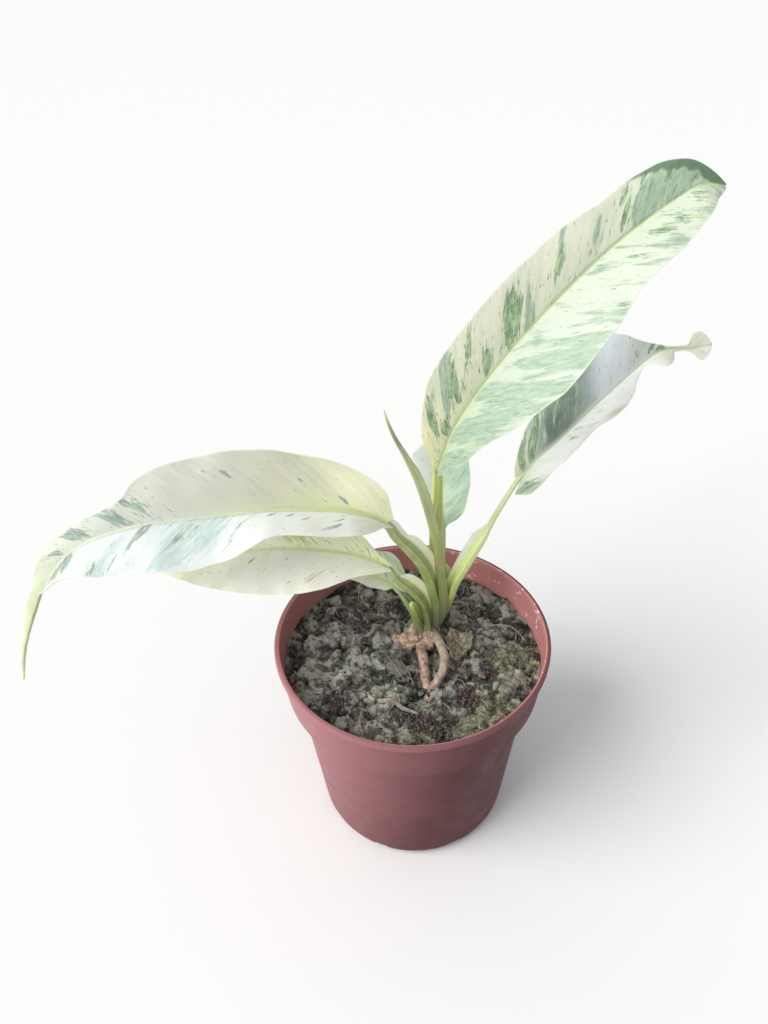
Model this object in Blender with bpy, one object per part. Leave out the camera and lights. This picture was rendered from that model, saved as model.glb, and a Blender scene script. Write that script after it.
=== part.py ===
"""A young variegated giant epipremnum in a round plastic nursery pot.

The model is in metres, +Z up, with its origin at the middle of the pot's flat foot. The front is -Y.
Sizes are given in millimetres and turned to metres where a mesh is made. The pot is a turned shell, the
soil a lumpy turned body inside it, and the plant is lofted along its own centre lines.
"""

import math
from dataclasses import dataclass

import bmesh
import bpy
from mathutils import Vector, noise

MM = 0.001
CLEARANCE = 0.3  # between neighbouring pieces, mm
CUTTER_GROWTH = 0.36  # a neighbour is grown by this before it cuts, mm

# Pot, mm
RIM_RADIUS = 60.0
POT_HEIGHT = 104.0
LIP_HEIGHT = 2.8
LIP_OVERHANG = 1.2
LIP_WIDTH = 2.4
LIP_ROUND = 0.5
COLLAR_HEIGHT = 22.5
COLLAR_FOOT_RADIUS = 57.0
LEDGE_WIDTH = 4.5
HEEL_RADIUS = 44.5
HEEL_ROUND = 6.0
WALL = 1.2
FOOT_DISC_RADIUS = 15.0
FOOT_RING_RADIUS = 31.0
FOOT_RECESS = 0.5
DRAIN_COUNT = 8
DRAIN_WIDTH = 7.0
DRAIN_HEIGHT = 5.2
DRAIN_INNER_RADIUS = 38.5
DRAIN_FIRST_ANGLE = -65.0  # degrees from +X
POT_SEGMENTS = 48

# Soil, mm
SOIL_EDGE_HEIGHT = 91.3
SOIL_MOUND = 2.2
HOLLOW_CENTRE = (7.0, -11.0)  # the soil sinks under the surface roots
HOLLOW_RADIUS = 17.0
HOLLOW_DEPTH = 6.0
SOIL_FRONT_RISE = 0.03  # mm of height for each mm towards the front
SOIL_RINGS = 12
CLODS = ((13.0, 2.2, 3.1), (6.5, 2.0, 8.7), (3.6, 1.1, 17.9))  # spacing, height, offset of each size
SOIL_CALM_BAND = 4.0  # the clods fade out over this width at the wall

# Blades, mm
BLADE_THICKNESS = 0.7
LOBE_SHARE = 0.14  # of the length, over which the basal lobes sweep back past the stalk
MIDRIB_THICKNESS = 1.7
RIB_SHARE = 0.06  # of the half width, where the thick midrib has thinned out
COLUMN_SHARES = (RIB_SHARE, 0.3, 0.55, 0.8, 1.0)

LEAF_GREEN = "#8FAE6A"
LEAF_CREAM = "#E4E8CC"
LEAF_MINT = "#C5DCC0"


@dataclass(frozen=True)
class Blade:
    """One leaf blade: its midrib, its outline, and how its two halves are held.

    Shares run from 0 at the stalk to 1 at the tip. Right and left are as seen from above, looking along
    the midrib towards the tip.
    """

    name: str
    colour: str
    rows: int
    midrib: tuple
    right_width: tuple
    left_width: tuple
    facing: tuple
    right_lift: tuple
    left_lift: tuple
    right_lobe: float = 2.0
    left_lobe: float = 2.0
    margin_curl: float = 10.0
    wave_height: float = 0.6
    wave_count: float = 4.0


@dataclass(frozen=True)
class Stalk:
    """One petiole: its centre line, its radius along it, and its sheath wings."""

    name: str
    colour: str
    route: tuple
    radius: tuple
    wing: tuple
    facing: tuple
    rings: int = 13


BLADES = (
    Blade(
        name="blade_tall",
        colour=LEAF_CREAM,
        rows=24,
        midrib=((10.4, 12, 181.7), (17, 13, 201), (30, 15, 222), (48.5, 19, 244), (70, 24, 264.5),
                (90, 29, 278), (97.5, 31.5, 280.3), (104.5, 33, 279)),
        right_width=((0, 1.5), (0.037, 7.2), (0.08, 11.3), (0.13, 14.2), (0.18, 17), (0.24, 21),
                     (0.3, 24), (0.36, 26.1), (0.41, 27.6), (0.46, 27.2), (0.57, 24.8), (0.62, 23),
                     (0.68, 19.6), (0.74, 18.4), (0.8, 17.8), (0.86, 15), (0.9, 13), (0.93, 10.5),
                     (0.98, 4.6), (1, 0.8)),
        left_width=((0, 1.2), (0.04, 4.2), (0.087, 10.6), (0.125, 13.3), (0.17, 16), (0.22, 18.7),
                    (0.3, 19.8), (0.43, 19.3), (0.52, 18.6), (0.59, 17.9), (0.64, 17.2), (0.69, 15.5),
                    (0.735, 14.1), (0.81, 14.3), (0.86, 13.6), (0.885, 12.4), (0.91, 10.3), (0.93, 8),
                    (0.96, 4), (1, 0.8)),
        facing=((0, (-0.2, -0.8, 0.5)), (0.5, (-0.15, -0.75, 0.6)), (1, (-0.1, -0.7, 0.7))),
        right_lift=((0, 34), (0.3, 30), (1, 26)),
        left_lift=((0, 44), (0.3, 42), (1, 32)),
    ),
    Blade(
        name="blade_right",
        colour=LEAF_MINT,
        rows=24,
        midrib=((46.3, 32, 163.9), (53.5, 35, 171.5), (62.5, 38, 179), (80, 44, 195.5), (96.5, 50, 209),
                (103, 51.8, 211.4), (108, 53, 211.3), (114, 54, 210.8), (122, 55.3, 211.8)),
        right_width=((0, 3.6), (0.029, 9.4), (0.087, 11.4), (0.19, 13.4), (0.275, 13.5), (0.37, 12.2),
                     (0.44, 15.2), (0.5, 16.4), (0.57, 12.3), (0.637, 5.4), (0.688, 2), (0.713, 6.4),
                     (0.746, 10.2), (0.8, 6.4), (0.833, 1.6), (0.89, 0.9), (0.91, 1.8), (0.946, 5.6),
                     (0.98, 3.6), (1, 0.8)),
        left_width=((0, 1.5), (0.025, 4.1), (0.07, 7.5), (0.113, 10.4), (0.175, 13.3), (0.24, 14.6),
                    (0.35, 17.2), (0.55, 19.4), (0.62, 19.3), (0.667, 18.3), (0.683, 15.5), (0.704, 12.8),
                    (0.725, 8.5), (0.767, 3.4), (0.82, 1), (0.89, 1.4), (0.917, 5.8), (0.95, 6.2),
                    (0.98, 4), (1, 0.8)),
        facing=((0, (-0.33, -0.6, 0.75)), (0.6, (-0.3, -0.6, 0.75)), (1, (-0.1, -0.85, 0.5))),
        right_lift=((0, 10), (0.06, 24), (0.15, 40), (0.6, 46), (0.8, 34), (1, 10)),
        left_lift=((0, 30), (0.5, 30), (0.8, 30), (1, 10)),
        right_lobe=7.0,
        wave_height=0.8,
    ),
    Blade(
        name="blade_upper_left",
        colour=LEAF_CREAM,
        rows=30,
        midrib=((-9, 4, 162), (-18, 3, 167), (-29.5, 2, 170), (-55, 0, 172), (-80.5, -3, 171.5),
                (-106, -6, 170), (-128, -10, 163.5), (-143.5, -13, 149), (-154, -15, 131),
                (-163, -16.3, 112), (-169, -17, 94.5)),
        right_width=((0, 2), (0.013, 6), (0.029, 10.1), (0.05, 13.3), (0.075, 16.1), (0.105, 18.8),
                     (0.14, 20.8), (0.175, 22.1), (0.24, 23.4), (0.32, 23.9), (0.36, 23.8), (0.39, 23.1),
                     (0.43, 21.5), (0.46, 18.6), (0.479, 15.6), (0.495, 11.2), (0.51, 9.6), (0.55, 8.2),
                     (0.6, 8.1), (0.64, 9), (0.685, 7.8), (0.717, 5.4), (0.754, 3.5), (0.8, 3.3),
                     (0.87, 2), (0.93, 1.3), (1, 0.8)),
        left_width=((0, 2), (0.021, 5), (0.04, 10.4), (0.062, 15.2), (0.087, 18.1), (0.14, 19.3),
                    (0.2, 18.6), (0.25, 20.2), (0.29, 19.2), (0.34, 19.6), (0.385, 21), (0.43, 20.8),
                    (0.483, 19.9), (0.57, 16), (0.646, 9.8), (0.671, 8.2), (0.7, 8.6), (0.725, 5.2),
                    (0.76, 3.4), (0.82, 2.4), (0.9, 1.6), (1, 0.8)),
        facing=((0, (0, -0.34, 0.94)), (0.4, (0, -0.4, 0.92)), (0.62, (-0.35, -0.5, 0.8)),
                (1, (-0.75, -0.6, 0.25))),
        right_lift=((0, 34), (0.25, 32), (0.6, 26), (0.75, 45), (1, 55)),
        left_lift=((0, 36), (0.22, 33), (0.34, -2), (0.55, -6), (0.75, 40), (1, 55)),
        wave_height=0.9,
    ),
    Blade(
        name="blade_lower_left",
        colour=LEAF_CREAM,
        rows=22,
        midrib=((-9.4, 5.2, 138), (-17, 6.5, 141), (-26, 8, 143), (-48.5, 10, 144), (-72, 12, 141),
                (-90, 13, 138), (-113, 14, 133.5), (-131, 15, 130.5)),
        right_width=((0, 0.8), (0.042, 2.6), (0.08, 5.5), (0.113, 8.4), (0.2, 14.5), (0.35, 18.5),
                     (0.55, 17.5), (0.75, 11.5), (0.9, 5), (1, 0.8)),
        left_width=((0, 1.6), (0.037, 5.2), (0.083, 9), (0.15, 13.6), (0.217, 17.4), (0.287, 19.4),
                    (0.36, 20), (0.433, 19.7), (0.508, 18.3), (0.588, 16.2), (0.658, 13.7), (0.733, 9.9),
                    (0.812, 5.5), (0.92, 2.4), (1, 0.8)),
        facing=((0, (0, -0.6, 0.8)), (1, (0, -0.6, 0.8))),
        right_lift=((0, 25), (0.3, 18), (1, 18)),
        left_lift=((0, 25), (0.3, 14), (1, 12)),
    ),
    Blade(
        name="blade_small_left",
        colour=LEAF_MINT,
        rows=12,
        midrib=((-5, 10, 119.2), (-8.5, 11, 122.8), (-14.5, 12.5, 125), (-22, 14, 126), (-33.5, 16, 125.5)),
        right_width=((0, 1.2), (0.06, 4.5), (0.13, 7.4), (0.24, 11.2), (0.333, 12.4), (0.442, 11.2),
                     (0.65, 9.5), (0.85, 5.5), (1, 0.6)),
        left_width=((0, 1), (0.108, 1.6), (0.204, 4.6), (0.442, 5.9), (0.604, 4.4), (0.8, 3), (1, 0.6)),
        facing=((0, (0.1, -0.4, 0.92)), (1, (0, -0.35, 0.94))),
        right_lift=((0, 35), (1, 25)),
        left_lift=((0, 20), (1, 15)),
        wave_height=0.4,
        wave_count=2.0,
    ),
    Blade(
        name="blade_small_back",
        colour=LEAF_MINT,
        rows=12,
        midrib=((13.8, 22.1, 146.9), (13.4, 24, 157.5), (12.7, 26, 167), (11.5, 27, 176), (10.5, 29, 189)),
        right_width=((0, 1.2), (0.02, 1.8), (0.075, 5.8), (0.158, 9.1), (0.317, 11), (0.479, 12.3),
                     (0.69, 12.4), (0.82, 9.5), (0.92, 5), (1, 0.8)),
        left_width=((0, 1), (0.05, 2.8), (0.17, 5), (0.46, 7.6), (0.646, 9.2), (0.8, 10.6), (0.86, 7.8),
                    (0.93, 4.5), (1, 0.8)),
        facing=((0, (0, -0.9, 0.4)), (1, (0, -0.85, 0.5))),
        right_lift=((0, 25), (1, 14)),
        left_lift=((0, 25), (1, 14)),
        wave_height=0.4,
        wave_count=2.0,
    ),
)

STALKS = (
    Stalk(
        name="petiole_tall",
        colour=LEAF_GREEN,
        route=((12.3, 14, 97.5), (12.5, 14, 110), (11, 14, 139), (10.4, 13.5, 156), (10.6, 13, 166),
               (11, 12.5, 177), (10.6, 12.2, 181.1)),
        radius=((0, 4.0), (0.15, 4.0), (0.3, 3.4), (0.45, 2.9), (0.6, 2.8), (0.75, 2.2), (0.9, 1.9),
                (1, 1.6)),
        wing=((0, 0.4), (0.3, 0.5), (0.85, 0.6), (0.95, 0.2), (1, 0.0)),
        facing=(-0.5, -0.85, 0.1),
        rings=15,
    ),
    Stalk(
        name="petiole_right",
        colour=LEAF_GREEN,
        route=((14.5, 16.5, 97.5), (16.6, 16.3, 108), (19, 16.5, 118), (22.3, 18, 124.3), (25.8, 20, 130),
               (30, 22.2, 137.3), (34, 24.5, 144), (38, 27, 151.2), (45.9, 31.8, 163.4)),
        radius=((0, 1.4), (0.1, 1.8), (0.2, 2.5), (0.35, 2.8), (0.55, 2.1), (0.68, 1.5), (1, 1.1)),
        wing=((0, 0.5), (0.15, 0.9), (0.3, 1.6), (0.52, 2.2), (0.6, 1.8), (0.66, 0.4), (0.7, 0.0),
              (1, 0.0)),
        facing=(-0.7, -0.3, 0.6),
    ),
    Stalk(
        name="petiole_upper_left",
        colour=LEAF_GREEN,
        route=((10.8, 11.5, 97.5), (10.4, 11, 111.6), (9.0, 10.4, 119.5), (7.6, 9.8, 125.9),
               (5.7, 9, 132.4), (2.9, 7.6, 139.3), (-0.8, 6, 146.2), (-4.0, 5, 151.3), (-6.7, 4.4, 155.3),
               (-9.1, 4, 161.2)),
        radius=((0, 2.7), (0.2, 2.5), (0.5, 2.1), (0.8, 1.9), (1, 1.6)),
        wing=((0, 0.6), (0.15, 1.6), (0.35, 4.0), (0.52, 5.2), (0.62, 4.6), (0.69, 1.6), (0.74, 1.4),
              (0.84, 2.4), (0.94, 1.8), (1, 0.4)),
        facing=(0.8, 0.0, 0.5),
    ),
    Stalk(
        name="petiole_lower_left",
        colour=LEAF_GREEN,
        route=((7.1, 8.3, 97.5), (6.9, 8.2, 103.2), (5.9, 7.9, 109.2), (4.4, 7.4, 114.6), (2.4, 6.9, 119),
               (-0.1, 6.4, 122.7), (-3.3, 5.9, 126.8), (-6.6, 5.5, 131), (-9.2, 5.2, 137.3)),
        radius=((0, 2.2), (0.3, 2.0), (0.6, 1.8), (1, 1.4)),
        wing=((0, 0.6), (0.25, 2.0), (0.48, 4.4), (0.64, 5.0), (0.72, 3.6), (0.79, 0.8), (0.84, 0.0),
              (1, 0.0)),
        facing=(0.7, -0.1, 0.7),
        rings=11,
    ),
    Stalk(
        name="petiole_small_left",
        colour=LEAF_GREEN,
        route=((3.5, 8.2, 97.0), (2.9, 8.2, 100.7), (1.5, 8.4, 106.2), (-0.2, 8.7, 110.3),
               (-2.8, 9.2, 114.8), (-4.8, 9.9, 118.7)),
        radius=((0, 2.2), (0.5, 1.8), (1, 1.2)),
        wing=((0, 0.6), (0.5, 1.0), (0.8, 0.4), (1, 0.0)),
        facing=(0.7, 0.0, 0.7),
        rings=8,
    ),
    Stalk(
        name="petiole_small_back",
        colour=LEAF_GREEN,
        route=((12, 19, 97.0), (12.6, 19.8, 108), (13.4, 20.3, 125), (13.9, 21, 136), (13.9, 22, 146.4)),
        radius=((0, 1.9), (0.4, 1.8), (0.6, 1.3), (1, 1.0)),
        wing=((0, 1.0), (0.3, 1.6), (0.5, 3.0), (0.56, 2.6), (0.62, 0.0), (1, 0.0)),
        facing=(0.9, -0.5, 0.2),
        rings=10,
    ),
    Stalk(
        name="torn_sheath",
        colour=LEAF_GREEN,
        route=((4.0, 5.2, 100.0), (2.5, 4.6, 108.7), (1.1, 4.3, 114), (-0.4, 4.2, 118.6)),
        radius=((0, 1.2), (0.5, 1.5), (0.8, 1.9), (0.93, 1.8), (1, 1.0)),
        wing=((0, 0.4), (0.6, 1.0), (0.9, 0.8), (1, 0.2)),
        facing=(0.6, -0.3, 0.7),
        rings=7,
    ),
    Stalk(
        name="new_leaf",
        colour=LEAF_GREEN,
        route=((10.2, 10.8, 136), (9.8, 10.4, 144.5), (9.1, 10, 152.1), (8.4, 9.3, 159.1),
               (7.3, 8.7, 164.7), (6.1, 8.1, 170.1), (4.7, 7.5, 175.4), (3.2, 6.8, 180.7), (1.3, 6, 186),
               (-0.8, 5.3, 191), (-2.9, 4.5, 196), (-5.1, 3.8, 200.9), (-6.8, 3.3, 205.5), (-8.2, 3, 210),
               (-9.2, 2.8, 214.4)),
        radius=((0, 0.9), (0.1, 1.4), (0.2, 1.9), (0.3, 2.15), (0.45, 2.25), (0.55, 2.1), (0.62, 1.8),
                (0.69, 1.4), (0.755, 1.1), (0.82, 0.9), (0.93, 0.65), (1, 0.35)),
        wing=((0, 0.0), (1, 0.0)),
        facing=(0.2, -0.9, 0.3),
        rings=13,
    ),
)

# Rhizome: centre lines with a radius at each point, mm
KNOB_ROUTE = ((-8.4, 6.2, 92.4, 1.6), (-5.2, 6.2, 93.0, 2.6), (-0.5, 6.4, 93.8, 3.6), (4.0, 7.2, 95.0, 4.2),
              (8.5, 9.5, 94.2, 4.2), (12.0, 11.5, 92.2, 3.0))
BASE_ROUTE = ((10.5, 12, 80, 3.4), (10.5, 12, 92, 4.0), (10.8, 12.2, 95.4, 4.4), (11, 12.4, 97.0, 4.2))
LEFT_ROOT_ROUTE = ((4.0, 5.0, 93.5, 2.4), (4.3, 0.4, 93.4, 2.1), (4.8, -6.0, 92.6, 2.0),
                   (5.5, -12.0, 91.4, 2.0), (6.2, -17.6, 89.8, 1.9), (6.6, -21.6, 86.5, 1.8),
                   (6.8, -22.8, 81, 1.7))
RIGHT_ROOT_ROUTE = ((9.0, 8.5, 95, 2.2), (10.9, 5.0, 96.8, 2.0), (13.1, -1.6, 97.0, 1.9),
                    (13.6, -7.9, 96.6, 1.9), (12.4, -13.9, 95.4, 1.85), (10.1, -18.2, 94.0, 1.8),
                    (8.0, -21.3, 92.2, 1.8), (6.4, -24.4, 89.0, 1.7), (5.8, -26.4, 82, 1.6))
ROOT_SIDES = 8
KNOB_SIDES = 12
KNOB_BUMP = 0.7

# Bark scrap, mm
BARK_CENTRE = (21.2, 1.3)
BARK_LENGTH = 16.0
BARK_WIDTH = 10.0
BARK_THICKNESS = 1.2
BARK_TURN = 62.0  # degrees from +X
BARK_ROWS = 6
BARK_COLUMNS = 4


def clear_scene():
    """Remove every object that the file opened with."""
    for item in list(bpy.data.objects):
        bpy.data.objects.remove(item, do_unlink=True)


def linear_colour(hex_colour):
    """Turn an sRGB hex colour into the linear RGBA that a shader socket holds."""
    channels = [int(hex_colour[i:i + 2], 16) / 255 for i in (1, 3, 5)]
    linear = [c / 12.92 if c <= 0.04045 else ((c + 0.055) / 1.055) ** 2.4 for c in channels]
    return (*linear, 1.0)


def finish(name, hex_colour, roughness):
    """Make a plain Principled material, or return the one that already has this name."""
    if name in bpy.data.materials:
        return bpy.data.materials[name]
    material = bpy.data.materials.new(name)
    material.use_nodes = True
    shader = material.node_tree.nodes["Principled BSDF"]
    shader.inputs["Base Color"].default_value = linear_colour(hex_colour)
    shader.inputs["Roughness"].default_value = roughness
    shader.inputs["Metallic"].default_value = 0.0
    return material


def add_piece(name, shape, material, smooth_angle=50.0):
    """Make an object from a bmesh in millimetres, with its faces pointing out."""
    bmesh.ops.recalc_face_normals(shape, faces=shape.faces[:])
    bmesh.ops.scale(shape, vec=(MM, MM, MM), verts=shape.verts[:])
    mesh = bpy.data.meshes.new(name)
    shape.to_mesh(mesh)
    shape.free()
    mesh.shade_smooth()
    mesh.set_sharp_from_angle(angle=math.radians(smooth_angle))
    piece = bpy.data.objects.new(name, mesh)
    bpy.context.scene.collection.objects.link(piece)
    piece.data.materials.append(material)
    return piece


def along(stations, share):
    """Read a smooth curve through (share, value) stations, without overshoot between them."""
    shares = [s for s, _ in stations]
    values = [v for _, v in stations]
    last = len(stations) - 1
    if share <= shares[0]:
        return values[0]
    if share >= shares[last]:
        return values[last]
    slopes = [(values[i + 1] - values[i]) / (shares[i + 1] - shares[i]) for i in range(last)]

    def tangent(i):
        if i in (0, last):
            return slopes[min(i, last - 1)]
        before, after = slopes[i - 1], slopes[i]
        return 0.0 if before * after <= 0 else 2 * before * after / (before + after)

    i = max(k for k in range(last) if shares[k] <= share)
    span = shares[i + 1] - shares[i]
    u = (share - shares[i]) / span
    rise = values[i + 1] - values[i]
    start, end = tangent(i) * span, tangent(i + 1) * span
    return values[i] + u * (start + u * ((3 * rise - 2 * start - end) + u * (start + end - 2 * rise)))


def direction_along(stations, share):
    """Blend between (share, direction) stations."""
    parts = [along([(s, d[axis]) for s, d in stations], share) for axis in range(3)]
    return Vector(parts).normalized()


class CentreLine:
    """A smooth curve through points, read by the share of its length."""

    SAMPLES = 12

    def __init__(self, points):
        ends = [2 * Vector(points[0]) - Vector(points[1]), 2 * Vector(points[-1]) - Vector(points[-2])]
        knots = [ends[0], *[Vector(p) for p in points], ends[1]]
        self.points = []
        for a, b, c, d in zip(knots, knots[1:], knots[2:], knots[3:]):
            for k in range(self.SAMPLES):
                u = k / self.SAMPLES
                self.points.append(0.5 * (2 * b + u * (c - a) + u * u * (2 * a - 5 * b + 4 * c - d)
                                          + u ** 3 * (3 * b - a - 3 * c + d)))
        self.points.append(knots[-2])
        self.travel = [0.0]
        for a, b in zip(self.points, self.points[1:]):
            self.travel.append(self.travel[-1] + (b - a).length)

    def point(self, share):
        """Return the place at a share of the length."""
        want = min(max(share, 0.0), 1.0) * self.travel[-1]
        i = max(k for k in range(len(self.points) - 1) if self.travel[k] <= want)
        step = self.travel[i + 1] - self.travel[i]
        return self.points[i].lerp(self.points[i + 1], (want - self.travel[i]) / step)

    def tangent(self, share, reach=0.02):
        """Return the direction at a share of the length."""
        return (self.point(share + reach) - self.point(share - reach)).normalized()


def frame_at(line, share, facing):
    """Return the place, the sideways direction and the upper direction on a centre line."""
    forward = line.tangent(share)
    side = forward.cross(facing).normalized()
    return line.point(share), side, side.cross(forward).normalized()


def loft(sections, cap_ends=True):
    """Skin a row of closed sections with the same number of points each."""
    shape = bmesh.new()
    rings = [[shape.verts.new(point) for point in section] for section in sections]
    count = len(rings[0])
    for near, far in zip(rings, rings[1:]):
        for i in range(count):
            j = (i + 1) % count
            shape.faces.new((near[i], near[j], far[j], far[i]))
    if cap_ends:
        shape.faces.new(rings[0])
        shape.faces.new(rings[-1])
        bmesh.ops.triangulate(shape, faces=shape.faces[:])
    return shape


def turned(profile, segments):
    """Turn a closed (radius, height) profile about Z. Points at radius 0 lie on the axis."""
    shape = bmesh.new()
    ring = [shape.verts.new((radius, 0, height)) for radius, height in profile]
    edges = [shape.edges.new(pair) for pair in zip(ring, ring[1:])]
    if profile[0][0] > 0:
        edges.append(shape.edges.new((ring[-1], ring[0])))
    bmesh.ops.spin(shape, geom=ring + edges, axis=(0, 0, 1), cent=(0, 0, 0), steps=segments,
                   angle=2 * math.pi, use_merge=True)
    bmesh.ops.remove_doubles(shape, verts=shape.verts[:], dist=0.001)
    return shape


def apply_modifiers(piece):
    """Replace an object's mesh by its evaluated one, so that its cutters can be removed."""
    graph = bpy.context.evaluated_depsgraph_get()
    mesh = bpy.data.meshes.new_from_object(piece.evaluated_get(graph))
    piece.modifiers.clear()
    piece.data = mesh


def keep_largest_body(piece):
    """Drop the loose scraps that a cut can leave, and keep the body with the most faces."""
    shape = bmesh.new()
    shape.from_mesh(piece.data)
    waiting = set(shape.faces)
    bodies = []
    while waiting:
        body, queue = set(), [waiting.pop()]
        while queue:
            face = queue.pop()
            body.add(face)
            for edge in face.edges:
                for neighbour in edge.link_faces:
                    if neighbour in waiting:
                        waiting.remove(neighbour)
                        queue.append(neighbour)
        bodies.append(body)
    bodies.sort(key=len)
    scraps = [face for body in bodies[:-1] for face in body]
    bmesh.ops.delete(shape, geom=scraps, context="FACES")
    shape.to_mesh(piece.data)
    shape.free()


def cut_clear(piece, neighbours):
    """Cut a piece back from its neighbours, so that a small clearance stays between them."""
    for neighbour in neighbours:
        cutter = neighbour.copy()
        cutter.data = neighbour.data.copy()
        cutter.name = "cutter"
        cutter.hide_render = True
        cutter.display_type = "WIRE"
        bpy.context.scene.collection.objects.link(cutter)
        growth = cutter.modifiers.new("growth", "DISPLACE")
        growth.strength = CUTTER_GROWTH * MM
        growth.mid_level = 0.0
        difference = piece.modifiers.new("clearance", "BOOLEAN")
        difference.operation = "DIFFERENCE"
        difference.solver = "MANIFOLD"
        difference.object = cutter
        apply_modifiers(piece)
        bpy.data.objects.remove(cutter, do_unlink=True)
    keep_largest_body(piece)


def joined(name, pieces):
    """Join overlapping pieces into the first one, and remove the others."""
    first, others = pieces[0], pieces[1:]
    for other in others:
        union = first.modifiers.new("union", "BOOLEAN")
        union.operation = "UNION"
        union.solver = "EXACT"
        union.object = other
    apply_modifiers(first)
    for other in others:
        bpy.data.objects.remove(other, do_unlink=True)
    first.name = name
    return first


def body_radius(height):
    """Return the outside radius of the pot's tapered body at a height."""
    top = POT_HEIGHT - COLLAR_HEIGHT
    share = height / top
    return HEEL_RADIUS + (COLLAR_FOOT_RADIUS - LEDGE_WIDTH - HEEL_RADIUS) * share


def pot_inside(gap=0.0, steps=4):
    """Return the pot's inner profile from the floor's middle to under the lip, moved in by a gap."""
    ledge = POT_HEIGHT - COLLAR_HEIGHT
    heel_centre = body_radius(HEEL_ROUND) - HEEL_ROUND
    heel = HEEL_ROUND - WALL - gap
    points = [(0.0, WALL + gap)]
    for step in range(steps + 1):
        angle = math.radians(90 * step / steps)
        points.append((heel_centre + heel * math.sin(angle), HEEL_ROUND - heel * math.cos(angle)))
    points.append((body_radius(ledge) - WALL - gap, ledge + 1.0 + gap))
    points.append((COLLAR_FOOT_RADIUS - WALL - gap, ledge + 1.9 + gap))
    return points


def collar_inside(height, gap=0.0):
    """Return the collar's inner radius at a height."""
    foot, top = POT_HEIGHT - COLLAR_HEIGHT, POT_HEIGHT - LIP_HEIGHT
    share = (height - foot) / (top - foot)
    outside = COLLAR_FOOT_RADIUS + (RIM_RADIUS - LIP_OVERHANG - COLLAR_FOOT_RADIUS) * share
    return outside - WALL - gap


def build_pot():
    """Build the moulded pot: turned shell, then the drainage slots through its heel."""
    ledge = POT_HEIGHT - COLLAR_HEIGHT
    lip_foot = POT_HEIGHT - LIP_HEIGHT
    heel_centre = body_radius(HEEL_ROUND) - HEEL_ROUND
    outside = [(0.0, 0.0), (FOOT_DISC_RADIUS, 0.0), (FOOT_DISC_RADIUS + 1, FOOT_RECESS),
               (FOOT_RING_RADIUS - 1, FOOT_RECESS), (FOOT_RING_RADIUS, 0.0)]
    for step in range(5):
        angle = math.radians(22.5 * step)
        outside.append((heel_centre + HEEL_ROUND * math.sin(angle), HEEL_ROUND * (1 - math.cos(angle))))
    outside += [
        (body_radius(ledge), ledge),
        (COLLAR_FOOT_RADIUS - 0.5, ledge + 0.4),
        (COLLAR_FOOT_RADIUS, ledge + 0.9),
        (RIM_RADIUS - LIP_OVERHANG, lip_foot),
        (RIM_RADIUS, lip_foot + LIP_ROUND),
        (RIM_RADIUS, POT_HEIGHT - LIP_ROUND),
        (RIM_RADIUS - LIP_ROUND, POT_HEIGHT),
        (RIM_RADIUS - LIP_WIDTH + LIP_ROUND, POT_HEIGHT),
        (RIM_RADIUS - LIP_WIDTH, POT_HEIGHT - LIP_ROUND),
    ]
    profile = outside + pot_inside()[::-1]
    material = finish("moulded polypropylene, rose brown", "#A0686A", 0.55)
    pot = add_piece("pot", turned(profile, POT_SEGMENTS), material, smooth_angle=32)

    cutters = bmesh.new()
    reach = RIM_RADIUS - DRAIN_INNER_RADIUS
    for number in range(DRAIN_COUNT):
        angle = math.radians(DRAIN_FIRST_ANGLE + number * 360 / DRAIN_COUNT)
        slot = bmesh.ops.create_cube(cutters, size=1.0)["verts"]
        bmesh.ops.scale(cutters, vec=(reach, DRAIN_WIDTH, 2 * DRAIN_HEIGHT), verts=slot)
        bmesh.ops.translate(cutters, vec=(DRAIN_INNER_RADIUS + reach / 2, 0, 0), verts=slot)
        turn = Vector((math.cos(angle), math.sin(angle), 0)).to_track_quat("X", "Z").to_matrix()
        bmesh.ops.rotate(cutters, matrix=turn, cent=(0, 0, 0), verts=slot)
    slots = add_piece("slots", cutters, material)
    drain = pot.modifiers.new("drain", "BOOLEAN")
    drain.operation = "DIFFERENCE"
    drain.solver = "EXACT"
    drain.object = slots
    apply_modifiers(pot)
    bpy.data.objects.remove(slots, do_unlink=True)
    return pot


def soil_height(x, y):
    """Return the height of the lumpy soil surface, mm."""
    radius = math.hypot(x, y)
    wall = collar_inside(SOIL_EDGE_HEIGHT, CLEARANCE)
    mound = SOIL_MOUND * (1 - (radius / wall) ** 2)
    calm = min(max((wall - radius) / SOIL_CALM_BAND, 0.0), 1.0)
    away = math.hypot(x - HOLLOW_CENTRE[0], y - HOLLOW_CENTRE[1]) / HOLLOW_RADIUS
    mound -= HOLLOW_DEPTH * max(0.0, 1 - away * away) ** 2
    lumps = sum(height * noise.noise(Vector((x / spacing + offset, y / spacing - offset, offset)))
                for spacing, height, offset in CLODS)
    return SOIL_EDGE_HEIGHT + mound - SOIL_FRONT_RISE * y + lumps * (0.35 + 0.65 * calm)


def build_soil():
    """Build the peat filling: it follows the pot's inside, and its top is lumpy."""
    wall = collar_inside(SOIL_EDGE_HEIGHT, CLEARANCE)
    top = [(wall * (1 - step / SOIL_RINGS), SOIL_EDGE_HEIGHT) for step in range(SOIL_RINGS + 1)]
    foot = pot_inside(CLEARANCE, steps=2)
    shape = turned(foot + top, POT_SEGMENTS)
    for vert in shape.verts:
        if vert.co.z > SOIL_EDGE_HEIGHT - 0.01:
            vert.co.z = soil_height(vert.co.x, vert.co.y)
            fit = collar_inside(vert.co.z, CLEARANCE) / wall
            vert.co.x *= fit
            vert.co.y *= fit
    bmesh.ops.triangulate(shape, faces=shape.faces[:])
    return add_piece("soil", shape, finish("peat", "#3B3834", 0.95), smooth_angle=30)


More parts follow.
